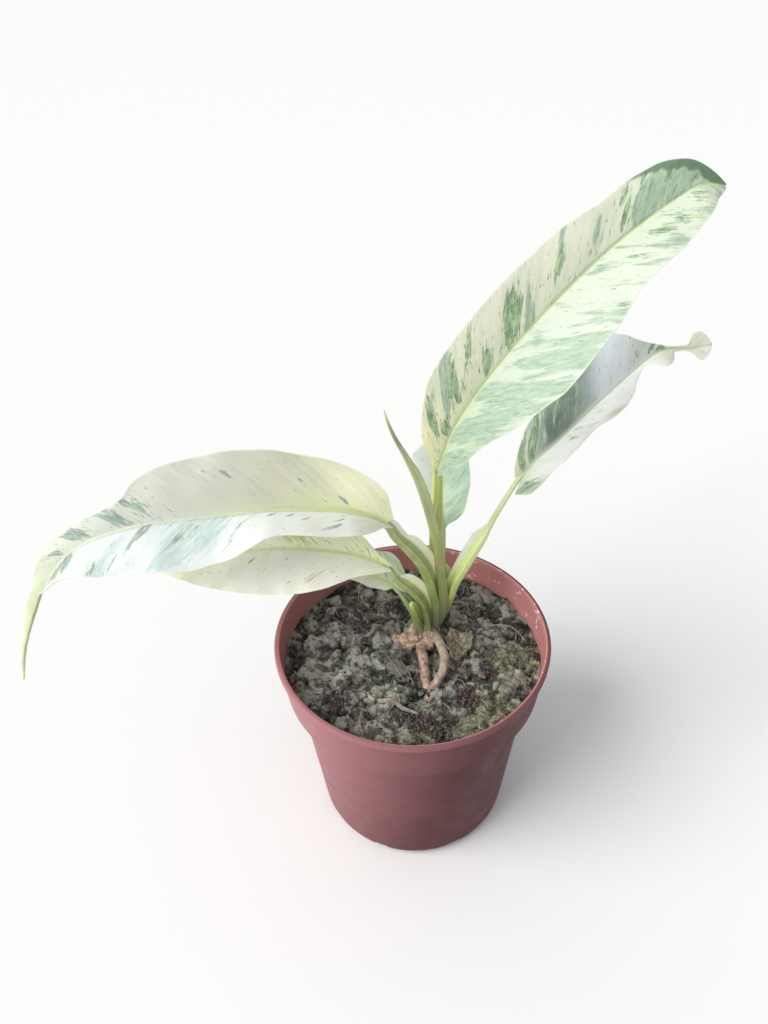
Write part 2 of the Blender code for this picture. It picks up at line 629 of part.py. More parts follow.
def round_tube(name, route, sides, material, bump=0.0, squash=1.0):
    """Loft round sections along (x, y, z, radius) points, with closed ends."""
    line = CentreLine([point[:3] for point in route])
    shares = []
    for point in route:
        nearest = min(range(len(line.points)), key=lambda k: (line.points[k] - Vector(point[:3])).length)
        shares.append(line.travel[nearest] / line.travel[-1])
    radii = [(share, point[3]) for share, point in zip(shares, route)]
    rings = 2 * len(route)
    sections = []
    for ring in range(rings + 1):
        share = ring / rings
        centre, side, up = frame_at(line, share, Vector((0.13, 0.31, 0.94)))
        radius = along(radii, share)
        section = []
        for corner in range(sides):
            angle = 2 * math.pi * corner / sides
            out = side * math.cos(angle) + up * (squash * math.sin(angle))
            place = centre + out * radius
            section.append(place + out * (bump * noise.noise(place * 0.45)))
        sections.append(section)
    return add_piece(name, loft(sections), material)


def build_rhizome():
    """Build the knobbly stem base with its two surface roots as one grown piece."""
    material = finish("cork bark", "#9C7C62", 0.85)
    knob = round_tube("knob", KNOB_ROUTE, KNOB_SIDES, material, bump=KNOB_BUMP, squash=0.9)
    base = round_tube("base", BASE_ROUTE, KNOB_SIDES, material, bump=KNOB_BUMP)
    left_root = round_tube("left_root", LEFT_ROOT_ROUTE, ROOT_SIDES, material, bump=0.4)
    right_root = round_tube("right_root", RIGHT_ROOT_ROUTE, ROOT_SIDES, material, bump=0.15)
    return joined("rhizome", [knob, base, left_root, right_root])


def stalk_section(centre, side, up, radius, wing):
    """Return a petiole's section: a round back, a channel on the upper side and two sheath wings."""
    section = []
    for step in range(7):
        angle = math.radians(30 - 40 * step)
        section.append(centre + radius * (side * math.cos(angle) + up * math.sin(angle)))
    thickness = 0.7
    tip_x, tip_y = radius * math.cos(math.radians(30)), radius * math.sin(math.radians(30))
    for hand in (-1, 1):
        outer = (tip_x + 0.35 * wing, tip_y + 0.1 + 0.94 * wing)
        inner = (outer[0] - thickness, outer[1] + 0.15)
        root = (tip_x - 0.34 * radius - 0.3, tip_y + 0.12 * radius)
        flank = [outer, inner, root]
        if hand == 1:
            flank = flank[::-1]
        for out, rise in flank:
            section.append(centre + side * (hand * out) + up * rise)
        if hand == -1:
            section.append(centre + up * (0.5 * radius))
    return section


def build_stalk(stalk):
    """Loft one petiole along its centre line."""
    line = CentreLine(stalk.route)
    facing = Vector(stalk.facing)
    sections = []
    for ring in range(stalk.rings + 1):
        share = ring / stalk.rings
        centre, side, up = frame_at(line, share, facing)
        sections.append(stalk_section(centre, side, up, along(stalk.radius, share),
                                      along(stalk.wing, share)))
    return add_piece(stalk.name, loft(sections), finish("petiole skin", stalk.colour, 0.45))


def blade_point(blade, line, share, across):
    """Return a point on a blade's upper surface. Across runs from -1, the left margin, to 1."""
    facing = direction_along(blade.facing, share)
    centre, side, up = frame_at(line, share, facing)
    right = across >= 0
    reach = abs(across)
    width = along(blade.right_width if right else blade.left_width, share)
    lift = along(blade.right_lift if right else blade.left_lift, share)
    bend = math.radians(lift + blade.margin_curl * (0.5 - reach))
    wave = blade.wave_height * reach ** 2 * min(1.0, width / 10)
    turn = 2 * math.pi * blade.wave_count * share + (0.9 if right else 2.6)
    out = side if right else -side
    distance = width * reach
    lobe = blade.right_lobe if right else blade.left_lobe
    sweep = lobe * reach ** 1.5 * max(0.0, 1 - share / LOBE_SHARE) ** 2
    rise = distance * math.sin(bend) + wave * math.sin(turn)
    return centre + out * (distance * math.cos(bend)) + up * rise - line.tangent(share) * sweep


def blade_rows(blade):
    """Return the shares of the rows, closer together at the two ends of the blade."""
    rows = []
    for row in range(blade.rows + 1):
        even = row / blade.rows
        eased = 0.5 - 0.5 * math.cos(math.pi * even)
        rows.append(0.45 * even + 0.55 * eased)
    return rows


def build_blade(blade):
    """Build one blade as a thin closed body, its two faces split into triangles alike."""
    line = CentreLine(blade.midrib)
    across = [-s for s in reversed(COLUMN_SHARES)] + [0.0] + list(COLUMN_SHARES)
    shape = bmesh.new()
    upper, lower = [], []
    step = 0.004
    for share in blade_rows(blade):
        top_row, low_row = [], []
        for place in across:
            here = blade_point(blade, line, share, place)
            ahead = blade_point(blade, line, min(share + step, 1.0), place)
            behind = blade_point(blade, line, max(share - step, 0.0), place)
            inner = blade_point(blade, line, share, max(place - 0.05, -1.0))
            outer = blade_point(blade, line, share, min(place + 0.05, 1.0))
            normal = (outer - inner).cross(ahead - behind).normalized()
            rib = max(0.0, 1 - abs(place) / (2 * RIB_SHARE))
            thickness = BLADE_THICKNESS + (MIDRIB_THICKNESS - BLADE_THICKNESS) * rib
            top_row.append(shape.verts.new(here))
            low_row.append(shape.verts.new(here - normal * thickness))
        upper.append(top_row)
        lower.append(low_row)
    last_row, last_column = len(upper) - 1, len(across) - 1
    for i in range(last_row):
        for j in range(last_column):
            for sheet, flip in ((upper, False), (lower, True)):
                a, b = sheet[i][j], sheet[i][j + 1]
                c, d = sheet[i + 1][j + 1], sheet[i + 1][j]
                halves = ((a, b, c), (a, c, d)) if j >= last_column / 2 else ((a, b, d), (b, c, d))
                for half in halves:
                    shape.faces.new(half[::-1] if flip else half)
        for j in (0, last_column):
            a, b = upper[i][j], upper[i + 1][j]
            c, d = lower[i + 1][j], lower[i][j]
            shape.faces.new((a, b, c))
            shape.faces.new((a, c, d))
    for i in (0, last_row):
        for j in range(last_column):
            a, b = upper[i][j], upper[i][j + 1]
            c, d = lower[i][j + 1], lower[i][j]
            shape.faces.new((a, b, c))
            shape.faces.new((a, c, d))
    return add_piece(blade.name, shape, finish("leaf skin " + blade.colour, blade.colour, 0.4))


def build_bark():
    """Build the crumpled bark scrap, which lies on the highest clods under it."""
    turn = math.radians(BARK_TURN)
    along_it = Vector((math.cos(turn), math.sin(turn), 0))
    across_it = Vector((-math.sin(turn), math.cos(turn), 0))
    centre = Vector((*BARK_CENTRE, 0))
    places = []
    for i in range(BARK_ROWS + 1):
        row = []
        for j in range(BARK_COLUMNS + 1):
            u, v = i / BARK_ROWS - 0.5, j / BARK_COLUMNS - 0.5
            taper = 1 - 1.1 * u * u - 0.35 * (u + 0.5)
            flat = centre + along_it * (BARK_LENGTH * u) + across_it * (BARK_WIDTH * taper * v)
            rise = 5.0 * v * v + 1.2 * noise.noise(flat * 0.22)
            row.append((flat, rise))
        places.append(row)
    seat = max(soil_height(flat.x, flat.y) - rise for row in places for flat, rise in row)
    shape = bmesh.new()
    sheets = []
    for height in (seat + CLEARANCE, seat + CLEARANCE + BARK_THICKNESS):
        sheets.append([[shape.verts.new(flat + Vector((0, 0, height + rise))) for flat, rise in row]
                       for row in places])
    for sheet in sheets:
        for i in range(BARK_ROWS):
            for j in range(BARK_COLUMNS):
                a, b, c, d = sheet[i][j], sheet[i][j + 1], sheet[i + 1][j + 1], sheet[i + 1][j]
                shape.faces.new((a, b, c))
                shape.faces.new((a, c, d))
    low, high = sheets
    edge = [(i, 0) for i in range(BARK_ROWS)] + [(BARK_ROWS, j) for j in range(BARK_COLUMNS)]
    edge += [(i, BARK_COLUMNS) for i in range(BARK_ROWS, 0, -1)] + [(0, j) for j in range(BARK_COLUMNS, 0, -1)]
    for (i, j), (k, m) in zip(edge, edge[1:] + edge[:1]):
        shape.faces.new((low[i][j], low[k][m], high[k][m], high[i][j]))
    return add_piece("bark_scrap", shape, finish("dry bark", "#8E7F5E", 0.9))


def main():
    """Build the pot, the soil and the plant, and cut each piece clear of those it grows against."""
    clear_scene()
    build_pot()
    soil = build_soil()
    rhizome = build_rhizome()
    cut_clear(soil, [rhizome])
    blades = [build_blade(blade) for blade in BLADES]
    stalks = []
    for stalk in STALKS:
        piece = build_stalk(stalk)
        cut_clear(piece, [rhizome, *blades, *stalks])
        stalks.append(piece)
    cut_clear(build_bark(), [rhizome])


if __name__ == "__main__":
    main()
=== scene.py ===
"""A young variegated giant epipremnum in a rose-brown nursery pot, dressed for a studio picture.

Sizes are in millimetres and turn to metres where a mesh is placed. +Z is up, the front is -Y, and the
origin is the middle of the pot's flat foot.
"""

import logging
import math
from dataclasses import dataclass
from enum import Enum
from typing import Callable

import bpy
import numpy as np
from mathutils import Matrix, Vector, noise

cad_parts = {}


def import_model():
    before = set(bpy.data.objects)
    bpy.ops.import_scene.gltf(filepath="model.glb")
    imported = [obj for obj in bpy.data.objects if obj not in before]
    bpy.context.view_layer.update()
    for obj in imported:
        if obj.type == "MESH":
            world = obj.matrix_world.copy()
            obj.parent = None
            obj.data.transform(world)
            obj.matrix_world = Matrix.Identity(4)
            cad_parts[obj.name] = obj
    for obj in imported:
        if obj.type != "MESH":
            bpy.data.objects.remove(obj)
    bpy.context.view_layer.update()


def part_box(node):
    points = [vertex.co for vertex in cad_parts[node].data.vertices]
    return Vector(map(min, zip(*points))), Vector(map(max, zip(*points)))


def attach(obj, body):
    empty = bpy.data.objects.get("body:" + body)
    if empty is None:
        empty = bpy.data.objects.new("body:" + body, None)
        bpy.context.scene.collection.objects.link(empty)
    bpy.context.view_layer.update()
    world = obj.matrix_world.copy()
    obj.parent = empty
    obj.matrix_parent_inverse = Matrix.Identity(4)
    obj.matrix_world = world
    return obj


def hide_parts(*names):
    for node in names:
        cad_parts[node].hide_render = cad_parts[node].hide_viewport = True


LOG = logging.getLogger("epipremnum")
MM = 0.001
SEED = 41
Array = np.ndarray
Object = bpy.types.Object
Material = bpy.types.Material
Stations = tuple[tuple[float, float], ...]
Stops = tuple[tuple[float, str], ...]
Point = tuple[float, float, float]
Rows = tuple[tuple[float, ...], ...]
Place = Callable[[Array, Array], Array]
Models = list[tuple[Array, Array]]
Socket = bpy.types.NodeSocket
Value = Socket | float | str | tuple[float, ...]


def linear(hex_colour: str) -> tuple[float, float, float, float]:
    """Turn an sRGB hex colour such as "#9E6464" into linear red, green, blue and an alpha of 1."""
    channels = [int(hex_colour[i:i + 2], 16) / 255 for i in (1, 3, 5)]
    values = [c / 12.92 if c <= 0.04045 else ((c + 0.055) / 1.055) ** 2.4 for c in channels]
    return (values[0], values[1], values[2], 1.0)


class Shader:
    """One material: a Principled shader and the nodes that feed it.

    A noise's scale is 1000 over the size of its pattern in millimetres.
    """

    def __init__(self, name: str) -> None:
        """Make the material under the real material's name."""
        self.material = bpy.data.materials.new(name)
        self.material.use_nodes = True
        self.tree = self.material.node_tree

    def fill(self, socket: Socket, value: Value) -> None:
        """Link an output to an input, or give the input a number, a vector or a hex colour."""
        if isinstance(value, Socket):
            self.tree.links.new(value, socket)
        else:
            socket.default_value = linear(value) if isinstance(value, str) else value

    def add(self, kind: str, *values: Value, out: str = "", stops: Stops = (), **named: Value) -> Socket:
        """Add one node with its settings, and link or fill its inputs.

        Args:
            kind: The node's type name after "ShaderNode".
            *values: Values or outputs for the active inputs, in the node's own order.
            out: The wanted output's name. The first active one if left out.
            stops: (place, hex) pairs for a colour ramp.
            **named: Settings in lower case, and inputs with a capital and _ for a space.

        Returns:
            The wanted output.
        """
        node = self.tree.nodes.new("ShaderNode" + kind)
        for key, value in named.items():
            if key[0].islower():
                setattr(node, key, value)
            else:
                self.fill(node.inputs[key.replace("_", " ")], value)
        for socket, value in zip([socket for socket in node.inputs if socket.enabled], values):
            self.fill(socket, value)
        if stops:
            elements = node.color_ramp.elements
            while len(elements) < len(stops):
                elements.new(0.5)
            for element, (place, colour) in zip(elements, stops):
                element.position = place
                element.color = linear(colour)
        return node.outputs[out] if out else next(socket for socket in node.outputs if socket.enabled)

    def lay(self, under: Value, over: Value, value: Socket, low: float = 0.0, high: float = 1.0,
            most: float = 1.0) -> Socket:
        """Lay one colour over another: none of it where a value is low, and its most where it is high."""
        mask = self.add("MapRange", value, low, high, 0.0, most)
        return self.add("Mix", mask, under, over, data_type="RGBA")

    def finish(self, **inputs: Value) -> Material:
        """Link or fill the shader's inputs, with _ for a space, and return the material."""
        shader = self.tree.nodes["Principled BSDF"]
        for key, value in inputs.items():
            self.fill(shader.inputs[key.replace("_", " ")], value)
        return self.material


def only(piece: Object) -> None:
    """Deselect everything, then select one object and make it active."""
    bpy.ops.object.select_all(action="DESELECT")
    piece.select_set(True)
    bpy.context.view_layer.objects.active = piece


def primitive(kind: str, **settings: object) -> Object:
    """Add a mesh primitive with nothing else selected, and return it."""
    bpy.ops.object.select_all(action="DESELECT")
    getattr(bpy.ops.mesh, f"primitive_{kind}_add")(**settings)
    return bpy.context.active_object


def add_object(name: str, data: bpy.types.ID) -> Object:
    """Put a mesh, a curve, a lamp or a camera into the scene."""
    piece = bpy.data.objects.new(name, data)
    bpy.context.scene.collection.objects.link(piece)
    return piece


def keep_modifier(piece: Object, kind: str, **settings: object) -> None:
    """Add a modifier, set it and apply it."""
    only(piece)
    modifier = piece.modifiers.new(kind.lower(), kind)
    for key, value in settings.items():
        setattr(modifier, key, value)
    bpy.ops.object.modifier_apply(modifier=modifier.name)


def places_of(piece: Object) -> Array:
    """Return the vertex places of a mesh as an array of (x, y, z) rows."""
    flat = np.empty(len(piece.data.vertices) * 3)
    piece.data.vertices.foreach_get("co", flat)
    return flat.reshape(-1, 3)


def corners_of(piece: Object) -> Array:
    """Return the vertex number at each face corner of a mesh."""
    corners = np.empty(len(piece.data.loops), dtype=np.int64)
    piece.data.loops.foreach_get("vertex_index", corners)
    return corners


def move_vertices(piece: Object, places: Array) -> None:
    """Write new vertex places, in metres, into a mesh."""
    piece.data.vertices.foreach_set("co", places.astype(np.float32).ravel())
    piece.data.update()


def write_values(piece: Object, name: str, values: Array) -> None:
    """Store one number, or one row of linear RGBA, for each vertex."""
    colour = values.ndim == 2
    attribute = piece.data.attributes.new(name, "FLOAT_COLOR" if colour else "FLOAT", "POINT")
    attribute.data.foreach_set("color" if colour else "value", values.astype(np.float32).ravel())


def read(stations: Stations, shares: Array) -> Array:
    """Read a smooth curve through (share, value) stations, without overshoot between them.

    Args:
        stations: Rising shares, each with its value.
        shares: The places to read.

    Returns:
        The values at those places.
    """
    x, y = np.array(stations, float).T
    slopes = np.diff(y) / np.diff(x)
    tangents = np.empty_like(y)
    tangents[0], tangents[-1] = slopes[0], slopes[-1]
    product = slopes[:-1] * slopes[1:]
    total = slopes[:-1] + slopes[1:]
    tangents[1:-1] = np.where(product > 0, 2 * product / np.where(total == 0, 1, total), 0)
    shares = np.clip(shares, x[0], x[-1])
    i = np.clip(np.searchsorted(x, shares, side="right") - 1, 0, len(x) - 2)
    span = x[i + 1] - x[i]
    u = (shares - x[i]) / span
    rise, start, end = y[i + 1] - y[i], tangents[i] * span, tangents[i + 1] * span
    return y[i] + u * (start + u * ((3 * rise - 2 * start - end) + u * (start + end - 2 * rise)))


def unit(rows: Array) -> Array:
    """Scale each row to a length of one."""
    return rows / np.maximum(np.linalg.norm(rows, axis=1, keepdims=True), 1e-9)


def stack(*parts: Array | float) -> Array:
    """Put arrays or numbers side by side as the columns of rows."""
    return np.stack(np.broadcast_arrays(*parts), axis=1)


def soft_noise(rows: Array) -> Array:
    """Return smooth noise between about -1 and 1 for each row of three numbers."""
    return np.array([noise.noise(Vector(row)) for row in rows])


class CentreLine:
    """A smooth curve through points, read by the share of its length."""

    SAMPLES = 12
    REACH = 0.02

    def __init__(self, points: Rows | Array) -> None:
        """Lay the curve through points whose first three numbers are x, y and z.

        Args:
            points: The points in order, in millimetres.
        """
        line = np.array([point[:3] for point in points], float)
        knots = np.array([2 * line[0] - line[1], *line, 2 * line[-1] - line[-2]])
        rows = []
        for a, b, c, d in zip(knots, knots[1:], knots[2:], knots[3:]):
            for u in np.arange(self.SAMPLES) / self.SAMPLES:
                rows.append(0.5 * (2 * b + u * (c - a) + u * u * (2 * a - 5 * b + 4 * c - d)
                                   + u ** 3 * (3 * b - a - 3 * c + d)))
        self.points = np.array([*rows, knots[-2]])
        steps = np.linalg.norm(np.diff(self.points, axis=0), axis=1)
        self.travel = np.concatenate([[0.0], np.cumsum(steps)])
        self.length = float(self.travel[-1])

    def at(self, shares: Array) -> Array:
        """Return the places at shares of the length."""
        want = np.clip(shares, 0, 1) * self.length
        return stack(*(np.interp(want, self.travel, self.points[:, k]) for k in range(3)))

    def away(self, places: Array) -> Array:
        """Return each place's distance from the curve's sampled points."""
        return np.min(np.linalg.norm(places[:, None] - self.points[None], axis=2), axis=1)

    def frames(self, shares: Array, facing: Array) -> tuple[Array, ...]:
        """Return the places and the forward, side and upper directions.

        Args:
            shares: The places to read, as shares of the length.
            facing: The direction that the upper side faces, one for all places or one row for each.

        Returns:
            Four arrays of (x, y, z) rows.
        """
        forward = unit(self.at(shares + self.REACH) - self.at(shares - self.REACH))
        side = unit(np.cross(forward, facing))
        return self.at(shares), forward, side, unit(np.cross(side, forward))


def new_sheet(name: str, across: int, along: int, place: Place) -> Object:
    """Add a grid primitive and shape it.

    Args:
        name: The object's name.
        across: Faces along the grid's X.
        along: Faces along the grid's Y.
        place: Gives places in millimetres for two arrays that run from 0 to 1.

    Returns:
        The new object.
    """
    piece = primitive("grid", x_subdivisions=across, y_subdivisions=along, size=2.0)
    piece.name = name
    flat = places_of(piece)
    move_vertices(piece, place((flat[:, 0] + 1) / 2, (flat[:, 1] + 1) / 2) * MM)
    piece.data.uv_layers[0].name = "sheet"
    return piece


def new_tube(name: str, sides: int, rings: int, place: Place) -> Object:
    """Wrap a grid primitive into a closed tube: weld its seam, fill its ends, turn its faces out.

    Args:
        name: The object's name.
        sides: The number of faces round the tube.
        rings: The number of faces along it.
        place: Gives places in millimetres from the share of a turn and the share of the length.

    Returns:
        The new tube.
    """
    piece = new_sheet(name, sides, rings, place)
    only(piece)
    bpy.ops.object.mode_set(mode="EDIT")
    bpy.ops.mesh.select_all(action="SELECT")
    bpy.ops.mesh.remove_doubles(threshold=0.005 * MM)
    bpy.ops.mesh.fill_holes(sides=0)
    turn_faces_out()
    return piece


def turn_faces_out() -> None:
    """Turn all faces of the mesh in edit mode outwards, and leave edit mode."""
    bpy.ops.mesh.select_all(action="SELECT")
    bpy.ops.mesh.normals_make_consistent(inside=False)
    bpy.ops.object.mode_set(mode="OBJECT")


def settle(piece: Object, material: Material, slot: str, node: str = "",
           sharp: float = 0.0) -> None:
    """Finish a piece: shade it, give it its material, seat it on the part, and hide the part's node that it
    replaces.

    Args:
        piece: The finished object.
        material: Its material.
        slot: Not used.
        node: The part's node that the piece replaces, if any.
        sharp: The angle in degrees above which an edge stays sharp. Faces stay flat at 0.
    """
    if sharp:
        only(piece)
        bpy.ops.object.shade_smooth_by_angle(angle=math.radians(sharp))
    piece.data.materials.clear()
    piece.data.materials.append(material)
    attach(piece, "root")
    if node:
        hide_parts(node)
    LOG.info("%s: %d faces", piece.name, len(piece.data.polygons))


class Mark(Enum):
    """What a patch on a blade changes. The value is the name of the vertex attribute."""

    GREEN = "green"
    MINT = "mint"
    # a tint sets the ground colour; on some blades tints paint shade or a reflection
    TINT = "ground"


@dataclass(frozen=True)
class Patch:
    """One marking on a blade: a place, a size along and across the side veins, and a strength.

    The place is a share of the midrib and a share of the half width: negative is the left half.
    """

    mark: Mark
    share: float
    across: float
    run: float
    breadth: float
    strength: float
    colour: str = "#FFFFFF"


def patches_of(mark: Mark, *rows: tuple) -> tuple[Patch, ...]:
    """Make patches with one mark from rows of their other values."""
    return tuple(Patch(mark, *row) for row in rows)


@dataclass(frozen=True)
class BladeSkin:
    """Living leaf skin of a variegated aroid: a waxy cuticle over cream, mint and green cells.

    The cuticle gives a soft gloss. Cream cells scatter light, so the blade glows a little. Green cells
    lie in ragged dashes along the side veins: darkest at a dash's rim, paler inside it, with a grey-green
    halo round it.
    """

    name: str
    rim: str = "#6F8F69"
    green: str = "#87A878"
    pale_green: str = "#A9C596"
    mint: str = "#BCD6B4"
    deep_mint: str = "#A6C2A0"
    fleck: str = "#E4F1CC"
    halo: str = "#C4D1BC"
    rib: str = "#E2EBC0"
    margin: str = "#F1F3D2"
    streak: str = "#C9D2C4"
    roughness: float = 0.42
    streaks: float = 0.25
    dash_width: float = 2.1
    dash_length: float = 6.5
    blotch_width: float = 5.6
    blotch_length: float = 16.0
    vein_spacing: float = 4.6

    def grain(self, look: Shader, vein: Socket, width: float, length: float, detail: float,
              offset: float) -> Socket:
        """Add noise that is drawn out along the side veins.

        Args:
            look: The material.
            vein: The blade's vein map.
            width: The noise's size across the veins, in millimetres.
            length: Its size along them.
            detail: The noise's detail.
            offset: A shift that tells this noise from the others.

        Returns:
            The noise's value.
        """
        place = look.add("Mapping", vein, (offset, 1.7 * offset, 0), Scale=(1 / width, 1 / length, 1))
        return look.add("TexNoise", place, 1.0, detail, 0.62, Distortion=0.35)

    def build(self) -> Material:
        """Make the material. It reads the blade's vein map and its painted values.

        Returns:
            The material.
        """
        look = Shader(self.name)
        vein = look.add("UVMap", uv_map="vein")
        green, mint, rib, edge, seam = (look.add("Attribute", attribute_name=name, out="Fac")
                                        for name in ("green", "mint", "rib", "edge", "seam"))
        dash, blotch, fleck, inside, speck, cloud = (self.grain(look, vein, *sizes) for sizes in (
            (self.dash_width, self.dash_length, 5.0, 0.0), (self.blotch_width, self.blotch_length, 5.0, 7.3),
            (0.8, 3.6, 3.0, 13.1), (1.3, 4.2, 4.0, 21.7), (1.05, 3.0, 2.0, 34.9), (9.0, 16.0, 3.0, 46.3)))
        blotch_sum, dash_sum, speck_sum = (
            look.add("Math", *terms, operation="MULTIPLY_ADD")
            for terms in ((mint, 0.44, blotch), (green, 0.44, dash), (green, 0.16, speck)))

        # mint cells have two tones with pale flecks between them, green ones a dark rim and a pale heart
        minty = look.lay(self.mint, self.deep_mint, inside, 0.42, 0.62)
        minty = look.lay(minty, self.fleck, fleck, 0.56, 0.66, 0.6)
        heart = look.lay(self.rim, self.green, dash_sum, 0.755, 0.8)
        heart = look.lay(heart, self.pale_green, inside, 0.46, 0.6, 0.9)
        heart = look.lay(heart, self.fleck, fleck, 0.55, 0.64, 0.6)
        tone = look.add("Attribute", attribute_name="ground", out="Color")
        for layer in (
                (self.streak, cloud, 0.42, 0.72, 1.4 * self.streaks),
                (self.streak, fleck, 0.48, 0.72, self.streaks),
                (minty, blotch_sum, 0.65, 0.72, 0.92),
                (self.halo, dash_sum, 0.62, 0.735, 0.6),
                (heart, dash_sum, 0.72, 0.754),
                (self.rim, speck_sum, 0.672, 0.7, 0.7),
                # the seam is painted shade in the midrib groove, laid together with the dark border in the
                # rim's green
                (self.rim, seam), (self.rib, rib), (self.margin, edge)):
            tone = look.lay(tone, *layer)

        # side veins stand a few hundredths of a millimetre proud, and the skin between them is finely pitted
        warp = look.add("Math", cloud, 9.0, operation="MULTIPLY")
        vein_x = look.add("SeparateXYZ", vein, out="X")
        turn = look.add("Math", vein_x, 2 * math.pi / self.vein_spacing, warp, operation="MULTIPLY_ADD")
        wave = look.add("Math", turn, operation="SINE")
        relief = look.add("Math", fleck, 0.8, wave, operation="MULTIPLY_ADD")
        return look.finish(
            Base_Color=tone, Normal=look.add("Bump", 0.25, 0.07 * MM, Height=relief),
            Roughness=look.add("MapRange", blotch, 0.3, 0.7, self.roughness - 0.06, self.roughness + 0.06),
            IOR=1.42, Subsurface_Weight=0.3, Subsurface_Radius=(1.0, 1.0, 0.7), Subsurface_Scale=1.6 * MM)


@dataclass(frozen=True)
class Half:
    """One half of a blade: its outline, its lift, its ground colour and its even share of markings.

    Widths and the lobe beside the stalk are in millimetres, lifts in degrees.
    """

    width: Stations
    lift: Stations
    ground: Stops
    green: float = 0.0
    mint: float = 0.0
    lobe: float = 2.0


@dataclass(frozen=True)
class Blade:
    """One leaf blade: the form of its two halves, and the markings on them.

    Shares run from 0 at the stalk to 1 at the tip. Right and left are as seen from above, looking along
    the midrib towards the tip. Waves, swells and the dark margin are in millimetres.
    """

    name: str
    slot: str
    midrib: Rows
    facing: tuple[tuple[float, Point], ...]
    right: Half
    left: Half
    skin: BladeSkin
    patches: tuple[Patch, ...] = ()
    margin_curl: float = 10.0
    wave_height: float = 0.6
    wave_count: float = 4.0
    ripple: float = 0.25
    swell: float = 0.35
    quilt: float = 0.02
    rib_line: Stations = ((0, 0.9), (1, 0.9))
    # seam: how strong the painted shade in the midrib groove is along the blade
    seam: Stations = ((0, 0.0), (1, 0.0))
    dark_margin: Stations = ((0, 0.0), (1, 0.0))
    rows: int = 220
    columns: int = 72

    CROWDING = 1.25
    WAVE_STARTS = (0.9, 2.6)
    LOBE_SHARE = 0.14
    VEIN_SLOPE = 0.95
    VEIN_BEND = 0.006
    THIN = 0.45
    RIB_THICK = 1.15
    RIB_WIDTH = 1.3

    def spread(self, grid_x: Array) -> Array:
        """Turn the grid's even columns into places across the blade, closer together at the midrib."""
        side = 2 * grid_x - 1
        return np.sign(side) * np.abs(side) ** self.CROWDING

    def halves(self, across: Array, pick: Callable[[Half], Array | float]) -> Array:
        """Return what a function picks from the half that each place is on."""
        return np.where(across >= 0, pick(self.right), pick(self.left))

    def width(self, share: Array, across: Array) -> Array:
        """Return the half width, in millimetres, of the half that each place is on."""
        return self.halves(across, lambda half: read(half.width, share))

    def vein_map(self, share: Array, across: Array) -> tuple[Array, Array]:
        """Return the place across the side veins and the distance from the midrib, both in millimetres."""
        off = self.width(share, across) * across
        along = share * CentreLine(self.midrib).length
        return along - self.VEIN_SLOPE * np.abs(off) - self.VEIN_BEND * off ** 2, off

    def surface(self, grid_x: Array, share: Array) -> Array:
        """Return places on the blade's upper face.

        Args:
            grid_x: 0 at the left margin to 1 at the right one.
            share: 0 at the stalk to 1 at the tip.

        Returns:
            Rows of (x, y, z) in millimetres.
        """
        across = self.spread(grid_x)
        facing = stack(*(read(tuple((s, d[k]) for s, d in self.facing), share) for k in range(3)))
        centre, forward, side, up = CentreLine(self.midrib).frames(share, unit(facing))
        reach = np.abs(across)
        width = self.width(share, across)
        lift = self.halves(across, lambda half: read(half.lift, share))
        bend = np.radians(lift + self.margin_curl * (0.5 - reach))
        turn = 2 * np.pi * self.wave_count * share + np.where(across >= 0, *self.WAVE_STARTS)
        wave = self.wave_height * np.sin(turn) + self.ripple * np.sin(2.7 * turn + 3 * reach)
        wave = wave * reach ** 2 * np.minimum(1, width / 10)
        lobe = self.halves(across, lambda half: half.lobe)
        sweep = lobe * reach ** 1.5 * np.maximum(0, 1 - share / self.LOBE_SHARE) ** 2
        distance = width * reach
        out = np.where(across >= 0, 1, -1)[:, None] * side
        # the skin swells between the side veins, but neither at the midrib nor at the margin
        vein_x, off = self.vein_map(share, across)
        held = np.clip(distance / 4, 0, 1) * np.clip((1 - reach) * 6 + 0.35, 0, 1)
        swell = self.swell * soft_noise(stack(vein_x / 9, off / 16, 0))
        quilt = self.quilt * np.sin(vein_x * 2 * np.pi / self.skin.vein_spacing
                                    + soft_noise(stack(vein_x / 20, off / 20, 1)) * 3)
        rise = distance * np.sin(bend) + wave + (swell + quilt) * held
        flat = distance * np.cos(bend)
        return centre + out * flat[:, None] + up * rise[:, None] - forward * sweep[:, None]

    def paint(self, piece: Object, share: Array, across: Array) -> None:
        """Write the vein map, the ground colour and the strength of each marking on the vertices.

        Args:
            piece: The blade.
            share: Each vertex's share of the way from foot to tip.
            across: Its place from the left edge at -1, over the midrib at 0, to the right edge at 1.
        """
        vein_x, off = self.vein_map(share, across)
        layer = piece.data.uv_layers.new(name="vein")
        layer.data.foreach_set("uv", stack(vein_x, off)[corners_of(piece)].astype(np.float32).ravel())
        right = np.clip(0.5 + 4 * across, 0, 1)

        def shared(pick: Callable[[Half], Array | float]) -> Array:
            """Read both halves, and let one run into the other at the midrib."""
            return pick(self.left) * (1 - right) + pick(self.right) * right

        values = {Mark.GREEN: shared(lambda half: half.green), Mark.MINT: shared(lambda half: half.mint)}
        ground = stack(*(shared(lambda half: read(tuple((s, linear(c)[k]) for s, c in half.ground), share))
                           for k in range(4)))
        for patch in self.patches:
            at_x, at_off = self.vein_map(np.array([patch.share]), np.array([patch.across]))
            near = ((vein_x - at_x) / patch.breadth) ** 2 + ((off - at_off) / patch.run) ** 2
            on_its_half = np.clip(0.5 + 8 * across * np.sign(patch.across), 0, 1)
            weight = patch.strength * np.exp(-near ** 1.4) * on_its_half
            if patch.mark is Mark.TINT:
                mix = np.clip(weight, 0, 1)[:, None]
                ground = ground * (1 - mix) + np.array(linear(patch.colour)) * mix
            else:
                values[patch.mark] = values[patch.mark] + weight
        for mark, value in values.items():
            write_values(piece, mark.value, np.clip(value, 0, 1.2))
        write_values(piece, Mark.TINT.value, np.clip(ground, 0, 1))
